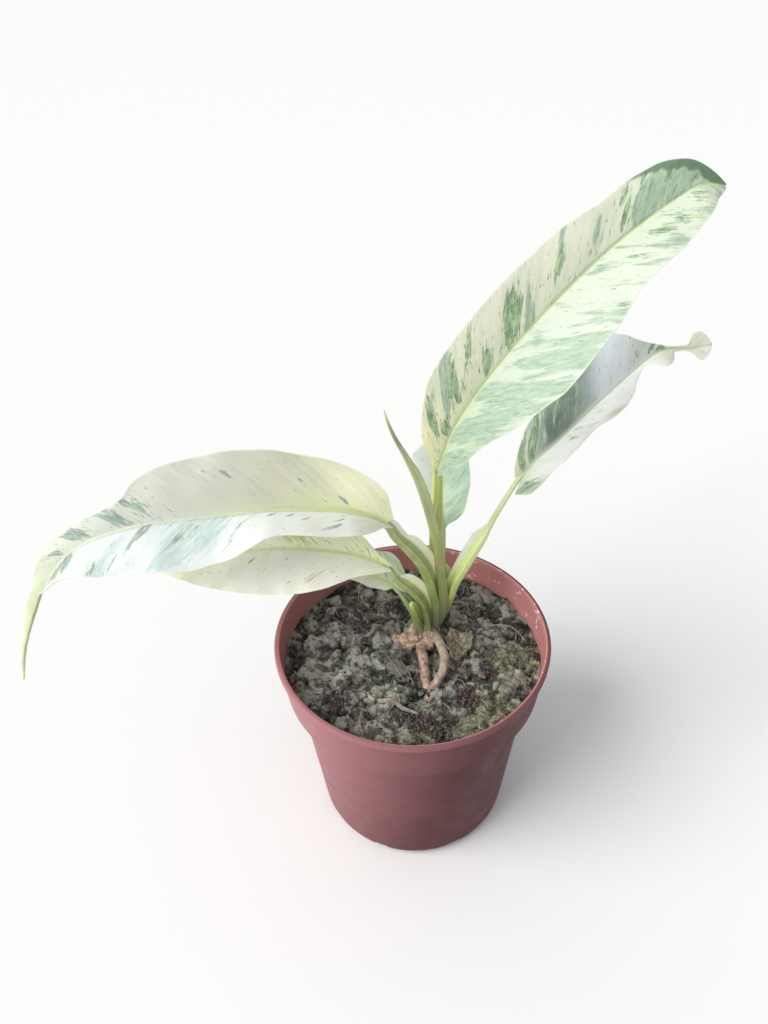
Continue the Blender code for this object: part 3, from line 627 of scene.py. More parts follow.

        # the pale midrib, painted shade in the midrib groove on its left, the dark border of the left half,
        # and the pale edge
        rib_width = 1.15 - 0.8 * share
        write_values(piece, "rib", read(self.rib_line, share) * np.exp(-(off / rib_width) ** 2))
        beside = np.exp(-((off + 1.5 * rib_width) / (0.5 * rib_width)) ** 2)
        seam = np.clip(read(self.seam, share), 0, 1) * beside
        away = self.width(share, across) * (1 - np.abs(across))
        border = read(self.dark_margin, share) * (1 + 0.4 * soft_noise(stack(vein_x / 3, off / 6, 0)))
        band = 0.9 * np.clip((border - away) / 0.8, 0, 1) * (across < 0)
        write_values(piece, "seam", np.maximum(seam, band))
        write_values(piece, "edge", 0.4 * np.clip((np.abs(across) - 0.97) / 0.03, 0, 1))

    def build(self) -> None:
        """Model the blade: a shaped grid, thick along its midrib and thin at its margins."""
        piece = new_sheet(self.name + "_skin", self.columns, self.rows, self.surface)
        sheet = np.empty(len(piece.data.loops) * 2)
        piece.data.uv_layers["sheet"].data.foreach_get("uv", sheet)
        grid = np.empty((len(piece.data.vertices), 2))
        grid[corners_of(piece)] = sheet.reshape(-1, 2)
        share, across = grid[:, 1], self.spread(grid[:, 0])
        self.paint(piece, share, across)
        off = self.width(share, across) * across
        full = self.THIN + self.RIB_THICK
        ridge = self.RIB_THICK * (1 - 0.6 * share) * np.exp(-(off / self.RIB_WIDTH) ** 2)
        group = piece.vertex_groups.new(name="thickness")
        for index, value in enumerate((self.THIN + ridge) / full):
            group.add([index], float(value), "REPLACE")
        keep_modifier(piece, "SOLIDIFY", thickness=full * MM, offset=-1.0, use_rim=True,
                      vertex_group="thickness", use_even_offset=False)
        settle(piece, self.skin.build(), self.slot, self.name, sharp=60)


TALL = Blade(
    "blade_tall", "leaf_tall",
    midrib=(
        (10.4, 12, 181.7), (17, 13, 201), (30, 15, 222), (48.5, 19, 244), (70, 24, 264.5), (90, 29, 278),
        (97.5, 31.5, 280.3), (104.5, 33, 279)),
    facing=((0, (-0.2, -0.8, 0.5)), (0.5, (-0.15, -0.75, 0.6)), (1, (-0.1, -0.7, 0.7))),
    right=Half(
        width=(
            (0, 1.5), (0.037, 7.2), (0.08, 11.3), (0.13, 14.2), (0.18, 17), (0.24, 21), (0.3, 24),
            (0.36, 26.1), (0.41, 27.6), (0.46, 27.2), (0.57, 24.8), (0.62, 23), (0.68, 19.6), (0.74, 18.4),
            (0.8, 17.8), (0.86, 15), (0.9, 13), (0.93, 10.5), (0.98, 4.6), (1, 0.8)),
        lift=((0, 34), (0.3, 30), (1, 26)),
        ground=(
            (0, "#CFDBA6"), (0.1, "#C0CDAE"), (0.3, "#C2CDBC"), (0.55, "#C9D2C5"), (0.8, "#CDD5C3"),
            (1, "#D2DBC6")),
        green=0.03, mint=0.3),
    left=Half(
        width=(
            (0, 1.2), (0.04, 4.2), (0.087, 10.6), (0.125, 13.3), (0.17, 16), (0.22, 18.7), (0.3, 19.8),
            (0.43, 19.3), (0.52, 18.6), (0.59, 17.9), (0.64, 17.2), (0.69, 15.5), (0.735, 14.1),
            (0.81, 14.3), (0.86, 13.6), (0.885, 12.4), (0.91, 10.3), (0.93, 8), (0.96, 4), (1, 0.8)),
        lift=((0, 44), (0.3, 42), (1, 32)),
        ground=(
            (0, "#FAEB86"), (0.05, "#F3F0B4"), (0.13, "#EDEDC6"), (0.25, "#E4E5C8"), (0.6, "#E0E1CB"),
            (0.8, "#DCE4CC"), (1, "#CBD8C0")),
        green=0.14, mint=0.06),
    skin=BladeSkin(
        "variegated leaf skin, cream and mint", rim="#66806A", green="#98B28C", pale_green="#BACEA4",
        mint="#A9BFAA", deep_mint="#8EA795", fleck="#C6D6BA", rib="#CBD8AA", streaks=0.35),
    rows=240, columns=84,
    # painted shade in the midrib groove, towards the tip
    seam=((0, 0.0), (0.45, 0.0), (0.6, 0.45), (0.9, 0.5), (1, 0.2)),
    dark_margin=((0, 0.0), (0.78, 0.0), (0.84, 1.8), (0.9, 3.4), (0.96, 4.0), (1, 3.0)),
    patches=patches_of(
        Mark.GREEN, (0.432, -0.36, 7.4, 4.6, 0.92), (0.452, -0.62, 5.5, 2.2, 0.5),
        (0.325, -0.25, 4.4, 2.8, 0.75), (0.322, -0.66, 5.4, 2.0, 0.72), (0.243, -0.58, 6.2, 2.7, 0.8),
        (0.25, -0.34, 3.0, 1.3, 0.65), (0.215, -0.28, 2.2, 1.3, 0.7), (0.157, -0.8, 3.4, 2.1, 0.8),
        (0.122, -0.58, 4.4, 1.6, 0.66), (0.132, -0.25, 3.2, 2.6, 0.8), (0.60, -0.55, 4.8, 2.0, 0.7),
        (0.68, -0.3, 3.0, 1.6, 0.5), (0.755, -0.3, 2.6, 1.7, 0.7), (0.775, -0.55, 2.2, 1.5, 0.62),
        (0.78, -0.8, 2.4, 1.6, 0.6), (0.84, -0.95, 2.0, 2.4, 0.6), (0.90, -0.8, 2.2, 4.0, 0.5),
        (0.96, -0.7, 2.2, 4.0, 0.5), (0.93, -0.45, 1.8, 1.4, 0.6), (0.88, -0.6, 1.8, 1.2, 0.5),
        (0.98, -0.6, 2.6, 3.0, 0.7), (0.56, 0.9, 6.0, 1.8, 0.36), (0.48, 0.55, 9.0, 1.4, 0.34),
        (0.40, 0.35, 8.0, 1.4, 0.34), (0.27, 0.78, 6.0, 1.8, 0.36), (0.80, 0.43, 3.4, 2.6, 0.85),
        (0.865, 0.6, 7.0, 6.0, 0.4), (0.745, 0.65, 6.0, 3.0, 0.42), (0.63, 0.86, 4.5, 3.0, 0.45),
        (0.94, 0.55, 6.0, 6.0, 0.42), (0.06, 0.6, 7.0, 5.0, 0.3))
    + patches_of(
        Mark.MINT, (0.48, -0.25, 7.0, 4.5, 0.55), (0.24, -0.78, 8.0, 5.5, 0.55),
        (0.19, -0.36, 5.0, 5.0, 0.45), (0.63, -0.75, 7.0, 4.0, 0.55), (0.70, -0.55, 6.0, 4.0, 0.45),
        (0.825, -0.4, 6.0, 8.0, 0.9), (0.90, -0.3, 4.6, 9.0, 0.8), (0.45, 0.66, 14.0, 4.4, 0.55),
        (0.37, 0.8, 10.0, 4.0, 0.55), (0.31, 0.45, 13.0, 3.6, 0.5), (0.22, 0.62, 13.0, 4.8, 0.55),
        (0.15, 0.5, 9.0, 4.0, 0.5), (0.53, 0.8, 11.0, 3.2, 0.5), (0.57, 0.55, 12.0, 2.0, 0.26),
        (0.66, 0.7, 9.0, 2.4, 0.3), (0.345, 0.3, 8.0, 2.8, -0.5), (0.62, 0.3, 12.0, 10.0, -0.22),
        (0.05, 0.55, 8.0, 5.0, 0.5))
    + patches_of(Mark.TINT, (0.03, -0.5, 9.0, 7.0, 0.8, "#FFF6B0")))
RIGHT = Blade(
    "blade_right", "leaf_right",
    midrib=(
        (46.3, 32, 163.9), (53.5, 35, 171.5), (62.5, 38, 179), (80, 44, 195.5), (96.5, 50, 209),
        (103, 51.8, 211.4), (108, 53, 211.3), (114, 54, 210.8), (122, 55.3, 211.8)),
    facing=((0, (-0.33, -0.6, 0.75)), (0.6, (-0.3, -0.6, 0.75)), (1, (-0.1, -0.85, 0.5))),
    right=Half(
        width=(
            (0, 3.6), (0.029, 9.4), (0.087, 11.4), (0.19, 13.4), (0.275, 13.5), (0.37, 12.2), (0.44, 15.2),
            (0.5, 16.4), (0.57, 12.3), (0.637, 5.4), (0.688, 2), (0.713, 6.4), (0.746, 10.2), (0.8, 6.4),
            (0.833, 1.6), (0.89, 0.9), (0.91, 1.8), (0.946, 5.6), (0.98, 3.6), (1, 0.8)),
        lift=((0, 10), (0.06, 24), (0.15, 40), (0.6, 46), (0.8, 34), (1, 10)),
        ground=(
            (0, "#C3D4BC"), (0.06, "#E6EEDF"), (0.15, "#FCFDF8"), (0.6, "#FCFDF8"), (0.72, "#FAFBEA"),
            (0.85, "#EEF4D2"), (1, "#FCFDEE")),
        lobe=7.0),
    left=Half(
        width=(
            (0, 1.5), (0.025, 4.1), (0.07, 7.5), (0.113, 10.4), (0.175, 13.3), (0.24, 14.6), (0.35, 17.2),
            (0.55, 19.4), (0.62, 19.3), (0.667, 18.3), (0.683, 15.5), (0.704, 12.8), (0.725, 8.5),
            (0.767, 3.4), (0.82, 1), (0.89, 1.4), (0.917, 5.8), (0.95, 6.2), (0.98, 4), (1, 0.8)),
        lift=((0, 30), (0.5, 30), (0.8, 30), (1, 10)),
        # painted shadow of the tall blade: the grey-green stops at 0.24 and 0.4; painted sky reflection: the
        # blue-grey stops at 0.5 and 0.65
        ground=(
            (0, "#D9E1B4"), (0.13, "#C3CCBC"), (0.24, "#98A59C"), (0.4, "#98A4A2"), (0.5, "#BAC4CB"),
            (0.65, "#D0D6DF"), (0.76, "#D3D8D2"), (0.85, "#EBF1D0"), (1, "#F8FAEA")),
        green=0.08, mint=0.14),
    skin=BladeSkin(
        "variegated leaf skin, white, painted shadow and reflection", rim="#71866F", green="#8DA384", pale_green="#B4C4A4",
        mint="#BFD0C8", deep_mint="#A6B8B2", halo="#BCC7C6", rib="#CDD5BE"),
    wave_height=0.8, rows=180, columns=60,
    patches=patches_of(
        Mark.GREEN, (0.085, -0.85, 3.0, 1.8, 0.9), (0.12, -0.95, 2.4, 1.5, 0.8),
        (0.045, -0.35, 2.0, 1.5, 0.9), (0.065, -0.6, 1.6, 1.2, 0.8), (0.15, -0.6, 6.0, 3.0, 0.75),
        (0.19, -0.75, 5.0, 1.6, 0.6), (0.11, -0.3, 3.0, 1.6, 0.6), (0.36, -0.85, 5.0, 2.4, 0.42),
        (0.40, -0.45, 9.0, 1.4, 0.36), (0.745, -0.5, 1.4, 1.6, 0.9), (0.78, -0.6, 1.0, 2.2, 0.9),
        (0.69, -0.3, 1.6, 1.3, 0.7), (0.02, 0.7, 3.4, 3.4, 0.6), (0.27, 0.5, 2.2, 1.3, 0.5),
        (0.43, 0.4, 2.4, 1.3, 0.5))
    + patches_of(Mark.MINT, (0.18, -0.5, 12.0, 2.0, 0.3), (0.30, 0.25, 3.0, 6.0, 0.5))
    + patches_of(
        # painted shadow of the tall blade: the dark grey-green tints at 0.25 to 0.49 on the left half;
        # painted sky reflection: the blue-white tint at 0.55
        Mark.TINT, (0.25, -0.4, 10.0, 8.0, 0.9, "#6F7F70"), (0.33, -0.5, 15.0, 11.0, 1.0, "#66776D"),
        (0.42, -0.75, 10.0, 7.0, 0.8, "#76857F"), (0.49, -0.6, 10.0, 2.2, 0.5, "#9CA8AA"),
        (0.71, -0.5, 6.0, 6.0, 0.6, "#B4B6AE"), (0.55, -0.3, 12.0, 6.0, 0.5, "#DDE2EC"),
        (0.04, 0.95, 3.0, 3.4, 0.75, "#8FA392"), (0.47, 0.93, 3.0, 3.0, 0.6, "#A9AE92")))
UPPER_LEFT = Blade(
    "blade_upper_left", "leaf_upper_left",
    midrib=(
        (-9, 4, 162), (-18, 3, 167), (-29.5, 2, 170), (-55, 0, 172), (-80.5, -3, 171.5), (-106, -6, 170),
        (-128, -10, 163.5), (-143.5, -13, 149), (-154, -15, 131), (-163, -16.3, 112), (-169, -17, 94.5)),
    facing=(
        (0, (0, -0.34, 0.94)), (0.4, (0, -0.4, 0.92)), (0.62, (-0.35, -0.5, 0.8)),
        (1, (-0.75, -0.6, 0.25))),
    right=Half(
        width=(
            (0, 2), (0.013, 6), (0.029, 10.1), (0.05, 13.3), (0.075, 16.1), (0.105, 18.8), (0.14, 20.8),
            (0.175, 22.1), (0.24, 23.4), (0.32, 23.9), (0.36, 23.8), (0.39, 23.1), (0.43, 21.5),
            (0.46, 18.6), (0.479, 15.6), (0.495, 11.2), (0.51, 9.6), (0.55, 8.2), (0.6, 8.1), (0.64, 9),
            (0.685, 7.8), (0.717, 5.4), (0.754, 3.5), (0.8, 3.3), (0.87, 2), (0.93, 1.3), (1, 0.8)),
        lift=((0, 34), (0.25, 32), (0.6, 26), (0.75, 45), (1, 55)),
        ground=(
            (0, "#F4F6CC"), (0.06, "#EEF0CC"), (0.16, "#C8C9B0"), (0.35, "#C2C2B8"), (0.46, "#CBCBC0"),
            (0.55, "#CDD3C4"), (0.68, "#D4DAC6"), (0.78, "#E4E9C6"), (1, "#F4F6DC"))),
    left=Half(
        width=(
            (0, 2), (0.021, 5), (0.04, 10.4), (0.062, 15.2), (0.087, 18.1), (0.14, 19.3), (0.2, 18.6),
            (0.25, 20.2), (0.29, 19.2), (0.34, 19.6), (0.385, 21), (0.43, 20.8), (0.483, 19.9), (0.57, 16),
            (0.646, 9.8), (0.671, 8.2), (0.7, 8.6), (0.725, 5.2), (0.76, 3.4), (0.82, 2.4), (0.9, 1.6),
            (1, 0.8)),
        lift=((0, 36), (0.22, 33), (0.34, -2), (0.55, -6), (0.75, 40), (1, 55)),
        # painted sky reflection: the blue-white stops from 0.1 to 0.55
        ground=(
            (0, "#E4E8D0"), (0.1, "#E9ECE0"), (0.3, "#E0E6E4"), (0.55, "#D6DEDF"), (0.68, "#DCE3D6"),
            (0.75, "#CBD9A8"), (1, "#F1F3DA")),
        green=0.02, mint=0.1),
    skin=BladeSkin(
        "variegated leaf skin, cream, painted blue-white reflection", streaks=0.16, rim="#7B9084", green="#8FA297",
        pale_green="#ACBCAF", mint="#C8D8D4", deep_mint="#B4C8C4", fleck="#DFE8E2", halo="#CDD4CC",
        rib="#D3DBA2", streak="#B9C0B8"),
    wave_height=0.9, swell=0.5, rows=300, columns=76,
    rib_line=((0, 0.9), (0.2, 0.75), (0.4, 0.35), (0.7, 0.3), (1, 0.7)),
    # painted shade in the midrib groove
    seam=((0, 0.5), (0.25, 0.45), (0.4, 0.2), (0.5, 0.3), (0.75, 0.5), (1, 0.2)),
    patches=patches_of(
        Mark.GREEN, (0.306, 0.64, 2.0, 1.6, 1.05), (0.345, 0.72, 0.8, 0.7, 0.9),
        (0.094, 0.24, 1.6, 1.1, 1.0), (0.175, 0.53, 1.0, 0.7, 0.9), (0.475, 0.43, 7.0, 4.2, 0.72),
        (0.50, 0.22, 6.0, 3.0, 0.6), (0.53, 0.62, 5.5, 4.6, 0.62), (0.575, 0.4, 3.4, 3.8, 0.58),
        (0.605, 0.62, 3.6, 4.2, 0.66), (0.655, 0.4, 3.4, 4.0, 0.66), (0.43, 0.32, 5.0, 1.2, 0.5),
        (0.472, -0.16, 3.2, 2.4, 1.0), (0.495, -0.38, 4.0, 1.5, 0.85), (0.54, -0.66, 3.0, 1.6, 0.7),
        (0.59, -0.78, 2.6, 1.8, 0.6), (0.365, -0.2, 4.0, 1.2, 0.65), (0.405, -0.4, 5.0, 1.2, 0.7),
        (0.43, -0.25, 3.0, 1.0, 0.6), (0.29, -0.4, 6.5, 1.2, 0.75), (0.31, -0.7, 4.0, 0.9, 0.5),
        (0.113, -0.72, 2.6, 2.2, 0.75), (0.10, -0.45, 1.6, 1.2, 0.6), (0.19, -0.3, 2.2, 1.6, 0.7),
        (0.225, -0.22, 1.6, 1.2, 0.7), (0.16, -0.45, 1.6, 1.2, 0.6), (0.64, -0.3, 4.0, 5.0, 0.72),
        (0.69, -0.5, 4.0, 6.0, 0.55))
    + patches_of(
        Mark.MINT, (0.52, 0.3, 9.0, 10.0, 0.4), (0.555, -0.62, 7.0, 4.0, 0.6), (0.37, -0.3, 11.0, 9.5, 0.9),
        (0.40, -0.55, 9.0, 6.0, 0.5))
    + patches_of(
        # painted shade: the olive lines just right of the rib at 0.08 and 0.19 are groove shade, and the
        # olive strips at 0.8 and 0.9 on the left are the shade in the folded tip's channel
        Mark.TINT, (0.0, 0.5, 14.0, 16.0, 0.4, "#EDEEC4"), (0.08, 0.02, 1.0, 14.0, 0.9, "#98AB5E"),
        (0.19, 0.02, 0.9, 14.0, 0.8, "#A6B678"), (0.12, 0.1, 5.0, 14.0, 0.5, "#D3DA9A"),
        (0.30, 0.08, 4.0, 16.0, 0.35, "#D6DBB4"), (0.80, -0.5, 3.0, 14.0, 0.8, "#93A86C"),
        (0.90, -0.5, 3.0, 12.0, 0.5, "#A9B97C")))
LOWER_LEFT = Blade(
    "blade_lower_left", "leaf_lower_left",
    midrib=(
        (-9.4, 5.2, 138), (-17, 6.5, 141), (-26, 8, 143), (-48.5, 10, 144), (-72, 12, 141), (-90, 13, 138),
        (-113, 14, 133.5), (-131, 15, 130.5)),
    facing=((0, (0, -0.6, 0.8)), (1, (0, -0.6, 0.8))),
    right=Half(
        width=(
            (0, 0.8), (0.042, 2.6), (0.08, 5.5), (0.113, 8.4), (0.2, 14.5), (0.35, 18.5), (0.55, 17.5),
            (0.75, 11.5), (0.9, 5), (1, 0.8)),
        lift=((0, 25), (0.3, 18), (1, 18)),
        ground=((0, "#F8FCCA"), (0.15, "#FAFDD6"), (0.4, "#FAFDDC"), (1, "#FAFCE4")),
        green=0.2),
    left=Half(
        width=(
            (0, 1.6), (0.037, 5.2), (0.083, 9), (0.15, 13.6), (0.217, 17.4), (0.287, 19.4), (0.36, 20),
            (0.433, 19.7), (0.508, 18.3), (0.588, 16.2), (0.658, 13.7), (0.733, 9.9), (0.812, 5.5),
            (0.92, 2.4), (1, 0.8)),
        lift=((0, 25), (0.3, 14), (1, 12)),
        ground=((0, "#FBFCE2"), (0.2, "#FDFCEC"), (0.45, "#FDFCEE"), (0.65, "#F6F8DE"), (1, "#FBFCE6")),
        green=0.06),
    skin=BladeSkin(
        "variegated leaf skin, yellow cream", rim="#93A66E", green="#A6B87C", pale_green="#C9D69C",
        mint="#CDDBA0", deep_mint="#B8C98C", fleck="#EAF0C6", halo="#E0E6C2", rib="#D3DF9C",
        streak="#DDE2BE", dash_width=0.9, dash_length=6.5),
    rows=200, columns=64,
    rib_line=((0, 0.8), (0.5, 0.6), (1, 0.4)),
    patches=patches_of(
        Mark.GREEN, (0.33, 0.42, 6.5, 7.0, 0.22), (0.12, 0.5, 8.0, 5.0, 0.16),
        (0.475, -0.25, 1.2, 0.9, 0.75), (0.25, -0.68, 3.4, 1.8, 0.45), (0.19, -0.5, 3.0, 2.4, 0.25),
        (0.74, -0.6, 1.6, 1.2, 0.5))
    + patches_of(Mark.MINT, (0.34, 0.42, 6.0, 6.0, 0.6))
    + patches_of(
        Mark.TINT, (0.50, -0.3, 7.0, 5.0, 0.25, "#D8DEBC"), (0.66, -0.3, 8.0, 7.0, 0.4, "#DCE2BC")))
SMALL_LEFT = Blade(
    "blade_small_left", "leaf_small_left",
    midrib=((-5, 10, 119.2), (-8.5, 11, 122.8), (-14.5, 12.5, 125), (-22, 14, 126), (-33.5, 16, 125.5)),
    facing=((0, (0.1, -0.4, 0.92)), (1, (0, -0.35, 0.94))),
    right=Half(
        width=(
            (0, 1.2), (0.06, 4.5), (0.13, 7.4), (0.24, 11.2), (0.333, 12.4), (0.442, 11.2), (0.65, 9.5),
            (0.85, 5.5), (1, 0.6)),
        lift=((0, 35), (1, 25)),
        ground=((0, "#EEF8D0"), (0.4, "#EAF6DE"), (1, "#F0F9E4")),
        green=0.08, mint=0.28),
    left=Half(
        width=((0, 1), (0.108, 1.6), (0.204, 4.6), (0.442, 5.9), (0.604, 4.4), (0.8, 3), (1, 0.6)),
        lift=((0, 20), (1, 15)),
        ground=((0, "#FAFFD8"), (0.4, "#FCFFE4"), (1, "#FCFFE8"))),
    skin=BladeSkin(
        "young leaf skin, mint", mint="#BFDCBE", halo="#C8DCC4", rib="#D9E6B0", dash_width=0.9,
        dash_length=4.5, blotch_width=2.6, blotch_length=9.0, vein_spacing=3.0),
    wave_height=0.4, wave_count=2.0, ripple=0.1, rows=90, columns=48)
SMALL_BACK = Blade(
    "blade_small_back", "leaf_small_back",
    midrib=((13.8, 22.1, 146.9), (13.4, 24, 157.5), (12.7, 26, 167), (11.5, 27, 176), (10.5, 29, 189)),
    facing=((0, (0, -0.9, 0.4)), (1, (0, -0.85, 0.5))),
    right=Half(
        width=(
            (0, 1.2), (0.02, 1.8), (0.075, 5.8), (0.158, 9.1), (0.317, 11), (0.479, 12.3), (0.69, 12.4),
            (0.82, 9.5), (0.92, 5), (1, 0.8)),
        lift=((0, 25), (1, 14)),
        ground=((0, "#E2F0C8"), (0.3, "#D2E8D0"), (0.6, "#C6E0D0"), (1, "#CCE2D6")),
        mint=0.42),
    left=Half(
        width=(
            (0, 1), (0.05, 2.8), (0.17, 5), (0.46, 7.6), (0.646, 9.2), (0.8, 10.6), (0.86, 7.8),
            (0.93, 4.5), (1, 0.8)),
        lift=((0, 25), (1, 14)),
        ground=((0, "#EEF8D0"), (0.5, "#E8F1EA"), (1, "#E6F0E8")),
        mint=0.15),
    skin=BladeSkin(
        "young leaf skin, mint", mint="#BCDAC6", fleck="#D4EAD8", halo="#C2DACB", rib="#D0E0B4",
        dash_width=0.9, dash_length=5.0, blotch_width=2.8, blotch_length=11.0, vein_spacing=3.2),
    wave_height=0.4, wave_count=2.0, ripple=0.1, rows=110, columns=48,
    patches=patches_of(Mark.TINT, (0.2, 0.7, 6.0, 4.0, 0.4, "#B6D8C0")))


@dataclass(frozen=True)
class StalkSkin:
    """Smooth petiole skin: a waxy green face with fine ribs, and pale thin sheath wings.

    Both tables give a colour at shares of the length, so that the dark neck runs up into pale green.
    """

    name: str
    face: Stops
    wing: Stops
    rib: str = "#5E6E42"

    def build(self) -> Material:
        """Make the material. The stalk's own sheet map gives the turn round it and the share along it.

        Returns:
            The material.
        """
        look = Shader(self.name)
        sheet = look.add("UVMap", uv_map="sheet")
        share = look.add("SeparateXYZ", sheet, out="Y")
        face, pale = (look.add("ValToRGB", share, stops=stops) for stops in (self.face, self.wing))
        ribs = look.add("Mapping", sheet, Scale=(34.0, 2.0, 1.0))
        grain = look.add("TexNoise", ribs, 1.0, 4.0, 0.6)
        cloud = look.add("TexNoise", look.add("TexCoord", out="Object"), 1000 / 5, 3.0)
        tone = look.lay(face, self.rib, grain, 0.5, 0.72, 0.3)
        tone = look.lay(tone, pale, cloud, 0.42, 0.7, 0.22)
        tone = look.lay(tone, pale, look.add("Attribute", attribute_name="wing", out="Fac"), 0.1, 0.45)
        return look.finish(
            Base_Color=tone, Normal=look.add("Bump", 0.3, 0.08 * MM, Height=grain), Roughness=0.4, IOR=1.42,
            Subsurface_Weight=0.25, Subsurface_Radius=(1.0, 1.0, 0.5), Subsurface_Scale=1.5 * MM)


@dataclass(frozen=True)
class Stalk:
    """One petiole: its centre line, its radius along it, and its two sheath wings, in millimetres.

    Left and right are as seen from the channelled side, looking towards the blade.
    """

    name: str
    slot: str
    route: Rows
    radius: Stations
    facing: Point
    skin: StalkSkin
    left_wing: Stations = ((0, 0.0), (1, 0.0))
    right_wing: Stations = ((0, 0.0), (1, 0.0))
    rings: int = 36

    WING_THICKNESS = 0.7

    def outline(self) -> Array:
        """Return the section's corners as (side by radius, side, rise by radius, rise, share of wing).

        Returns:
            One row for each corner, from the right round below and back over both wings.
        """
        angles = [math.radians(30 - 40 * step) for step in range(7)]
        corners = [(math.cos(angle), 0.0, math.sin(angle), 0.0, 0.0) for angle in angles]
        tip_x, tip_y = math.cos(math.radians(30)), 0.5
        left, right = (
            [(hand * tip_x, 0.0, tip_y, 0.1, 1.0),
             (hand * tip_x, -hand * self.WING_THICKNESS, tip_y, 0.25, 1.0),
             (hand * (tip_x - 0.34), -hand * 0.3, tip_y + 0.12, 0.0, 0.0)] for hand in (-1, 1))
        return np.array([*corners, *left, (0.0, 0.0, 0.5, 0.0, 0.0), *right[::-1]])

    def surface(self, turn: Array, share: Array) -> Array:
        """Return places on the stalk's skin, in millimetres.

        Args:
            turn: Shares of the way round.
            share: Shares of the way up.

        Returns:
            One place for each pair.
        """
        corners = self.outline()
        corner = corners[np.rint(turn * len(corners)).astype(int) % len(corners)]
        hand = np.sign(corner[:, 0])
        radius = read(self.radius, share)
        wing = np.where(hand < 0, read(self.left_wing, share), read(self.right_wing, share)) * corner[:, 4]
        centre, _, side, up = CentreLine(self.route).frames(share, np.array(self.facing, float))
        out = corner[:, 0] * radius + corner[:, 1] + 0.35 * wing * hand
        rise = corner[:, 2] * radius + corner[:, 3] + 0.94 * wing
        return centre + side * out[:, None] + up * rise[:, None]

    def build(self) -> None:
        """Model the stalk: a wrapped grid, smoothed by a subdivision surface."""
        piece = new_tube(self.name + "_skin", len(self.outline()), self.rings, self.surface)
        line = CentreLine(self.route)
        places = places_of(piece) / MM
        shares = np.linspace(0, 1, 400)
        near = np.argmin(np.linalg.norm(places[:, None] - line.at(shares)[None], axis=2), axis=1)
        off = np.linalg.norm(places - line.at(shares[near]), axis=1)
        write_values(piece, "wing", np.clip((off - read(self.radius, shares[near]) * 1.08) / 1.2, 0, 0.95))
        keep_modifier(piece, "SUBSURF", levels=2, render_levels=2)
        settle(piece, self.skin.build(), self.slot, self.name, sharp=60)


